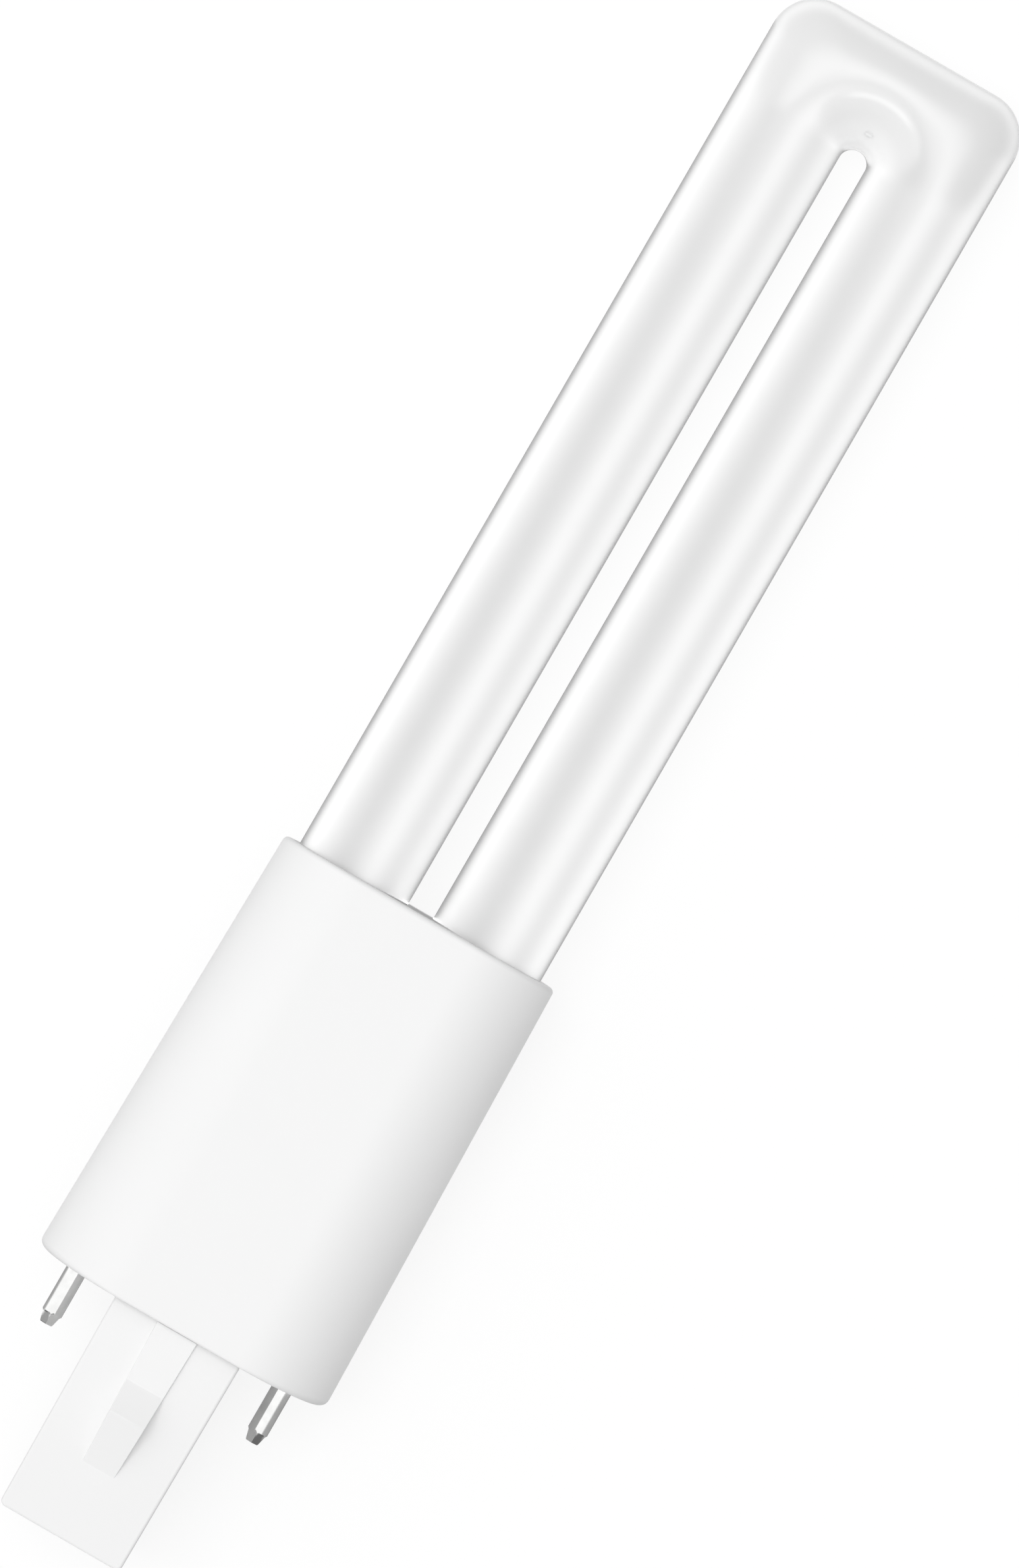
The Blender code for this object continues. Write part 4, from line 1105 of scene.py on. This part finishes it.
def make_room():
    world = bpy.data.worlds.new("room")
    bpy.context.scene.world = world
    tree = bare_tree(world)
    way = add_node(tree, "ShaderNodeTexCoord").outputs["Generated"]
    fields = {"Vector": way, "Rotation": UPRIGHT.to_euler()}
    turned = add_node(tree, "ShaderNodeMapping", fields, vector_type="VECTOR")
    right, back, up = split(tree, turned)
    front = times(tree, back, -1.0)
    soft = maths(tree, "MULTIPLY_ADD", right, ROOM_LEAN, ROOM)
    soft = maths(tree, "MULTIPLY_ADD", up, ROOM_RISE, soft)
    soft = maths(tree, "MAXIMUM", maths(tree, "MULTIPLY_ADD", front, ROOM_FRONT, soft), 0.0)
    rays = add_node(tree, "ShaderNodeLightPath").outputs
    level = mix_levels(tree, rays["Is Glossy Ray"], soft, gloss_level(tree, right, front, up))
    level = mix_levels(tree, rays["Is Camera Ray"], level, 1.0)
    glow = add_node(tree, "ShaderNodeBackground", {"Strength": level})
    add_node(tree, "ShaderNodeOutputWorld", {0: glow})
    print("room of", len(tree.nodes), "nodes")


make_room()

# %% [markdown]
# The two pins stand in a light of their own: bright from the front, dark from the sides. A ring of card
# round the lamp's foot gives it. Only gloss sees the card, and its glow changes with the angle.

# %% A light tent round the pins
TENT_RADIUS = 20 * MM
TENT_LOW = -30 * MM
TENT_HIGH = -1 * MM
TENT_LIGHT = ((-155, 0.25), (-96, 0.5), (-84, 1.3), (66, 1.3), (78, 0.5), (155, 0.25))
TENT_DARK_BELOW = -13 * MM
TENT_FULL_ABOVE = -10 * MM
TENT_DARK_SHARE = 0.35


def end_glow(tree, level):
    """Ends a finish that only glows."""
    glow = add_node(tree, "ShaderNodeEmission", {"Strength": level})
    add_node(tree, "ShaderNodeOutputMaterial", {0: glow})


def hang(thing, look):
    """Puts a glowing card in its place on the lamp, where gloss alone sees it."""
    thing.data.transform(LAMP)
    thing.data.materials.append(look)
    thing.visible_camera = False
    thing.visible_diffuse = False
    thing.visible_shadow = False
    print(thing.name, "shows in gloss only")


def tent_finish():
    look = bpy.data.materials.new("light_tent")
    tree = bare_tree(look)
    right, back, up = split(tree, place_in(tree))
    angle = maths(tree, "ARCTAN2", right, times(tree, back, -1.0))
    fields = {0: up, 1: TENT_DARK_BELOW, 2: TENT_FULL_ABOVE, 3: TENT_DARK_SHARE}
    share = add_node(tree, "ShaderNodeMapRange", fields)
    end_glow(tree, times(tree, new_ramp(tree, angle, TENT_LIGHT), share))
    return look


def make_tent():
    bm = bmesh.new()
    add_rings(bm, [circle_ring(0.0, z, TENT_RADIUS) for z in (TENT_LOW, TENT_HIGH)])
    hang(show_mesh("light_tent", bm), tent_finish())


make_tent()

# %% [markdown]
# Rays that the slot's end throws straight down would look into the dark bores of the housing, which the
# tube really fills. A card that glows on its upper side lies over them, and again only gloss sees it.

# %% A card over the bores
CARD_GLOW = 4.2
CARD_INSET = 3.5 * MM
CARD_LIFT = 0.1 * MM


def card_finish():
    look = bpy.data.materials.new("card_glow")
    tree = bare_tree(look)
    underside = add_node(tree, "ShaderNodeNewGeometry").outputs["Backfacing"]
    end_glow(tree, maths(tree, "MULTIPLY_ADD", underside, -CARD_GLOW, CARD_GLOW))
    return look


def make_card():
    bm = bmesh.new()
    face = bm.faces.new([bm.verts.new(point) for point in oval_ring(HOUSING_TOP, CARD_INSET)])
    face.normal_update()
    if face.normal.z < 0.0:
        face.normal_flip()
    bmesh.ops.translate(bm, vec=(0.0, 0.0, CARD_LIFT), verts=bm.verts)
    hang(show_mesh("card", bm), card_finish())


make_card()

# %% [markdown]
# Two lights are square panels that face the middle of the lamp. The large one lights all its white surfaces
# and doesn't show in gloss. The small one is there only to be reflected, and light linking keeps it to the
# moulded plastic, whose satin skin gets a faint sheen from it. The brightness of a panel is given as its
# radiance, where 1 is white, and its power follows from its area.

# %% Panels of light
MIDDLE = 61.3 * MM
PANEL_DISTANCE = 1000 * MM
TOP_LIGHT = {"angle": -12, "size": 500 * MM, "radiance": 4.0, "shows_in_gloss": False}
SHEEN_LIGHT = {"angle": 0, "size": 300 * MM, "radiance": 10.0, "shows_in_gloss": True}


def panel(name, angle, size, radiance, shows_in_gloss):
    """A square panel at an angle round the lamp's axis, from its front towards its right."""
    light = bpy.data.lights.new(name, "AREA")
    light.shape = "SQUARE"
    light.size = size
    light.energy = radiance * math.pi * size ** 2
    lamp = show(name, light)
    turned = math.radians(angle)
    back = Vector((math.sin(turned), -math.cos(turned), 0.0))
    up = Vector((0.0, 0.0, 1.0))
    facing = Matrix((up.cross(back), up, back)).transposed().to_4x4()
    place = Matrix.Translation(back * PANEL_DISTANCE + up * MIDDLE)
    lamp.matrix_world = LAMP @ place @ facing
    lamp.visible_camera = False
    lamp.visible_glossy = shows_in_gloss
    lamp.visible_diffuse = not shows_in_gloss
    print(f"{name}: {light.energy:.2f} W")
    return lamp


panel("top_light", **TOP_LIGHT)
sheen_light = panel("sheen_light", **SHEEN_LIGHT)
plastics = bpy.data.collections.new("plastics")
for piece in ("housing_shell", "cap_moulding"):
    plastics.objects.link(bpy.data.objects[piece])
sheen_light.light_linking.receiver_collection = plastics

# %% [markdown]
# ## The camera
# The photograph looks straight at the lamp's front, with the lamp turned so that its head points up and to
# the right. The lens is long: from about 0.7 m, the frame spans about 152 mm of the lamp's plane.

# %% Camera
CAMERA_DISTANCE = 700 * MM
CAMERA_X = 1.28 * MM
FRAME_HEIGHT = 151.9 * MM
SENSOR = 36.0
LEAN = math.radians(30.0)


def add_camera():
    lens = bpy.data.cameras.new("camera")
    camera = show("camera", lens)
    lens.sensor_width = SENSOR
    lens.lens = SENSOR * CAMERA_DISTANCE / FRAME_HEIGHT
    right = Vector((math.cos(LEAN), 0.0, math.sin(LEAN)))
    back = Vector((0.0, -1.0, 0.0))
    facing = Matrix((right, back.cross(right), back)).transposed().to_4x4()
    at = Matrix.Translation((CAMERA_X, -CAMERA_DISTANCE, MIDDLE))
    camera.matrix_world = LAMP @ at @ facing
    lens.clip_start = 0.01
    lens.clip_end = 50.0
    bpy.context.scene.camera = camera
    print(f"lens {lens.lens:.1f} mm, camera at {[round(v, 3) for v in camera.matrix_world.translation]}")


add_camera()
bpy.context.scene.view_settings.view_transform = "Standard"
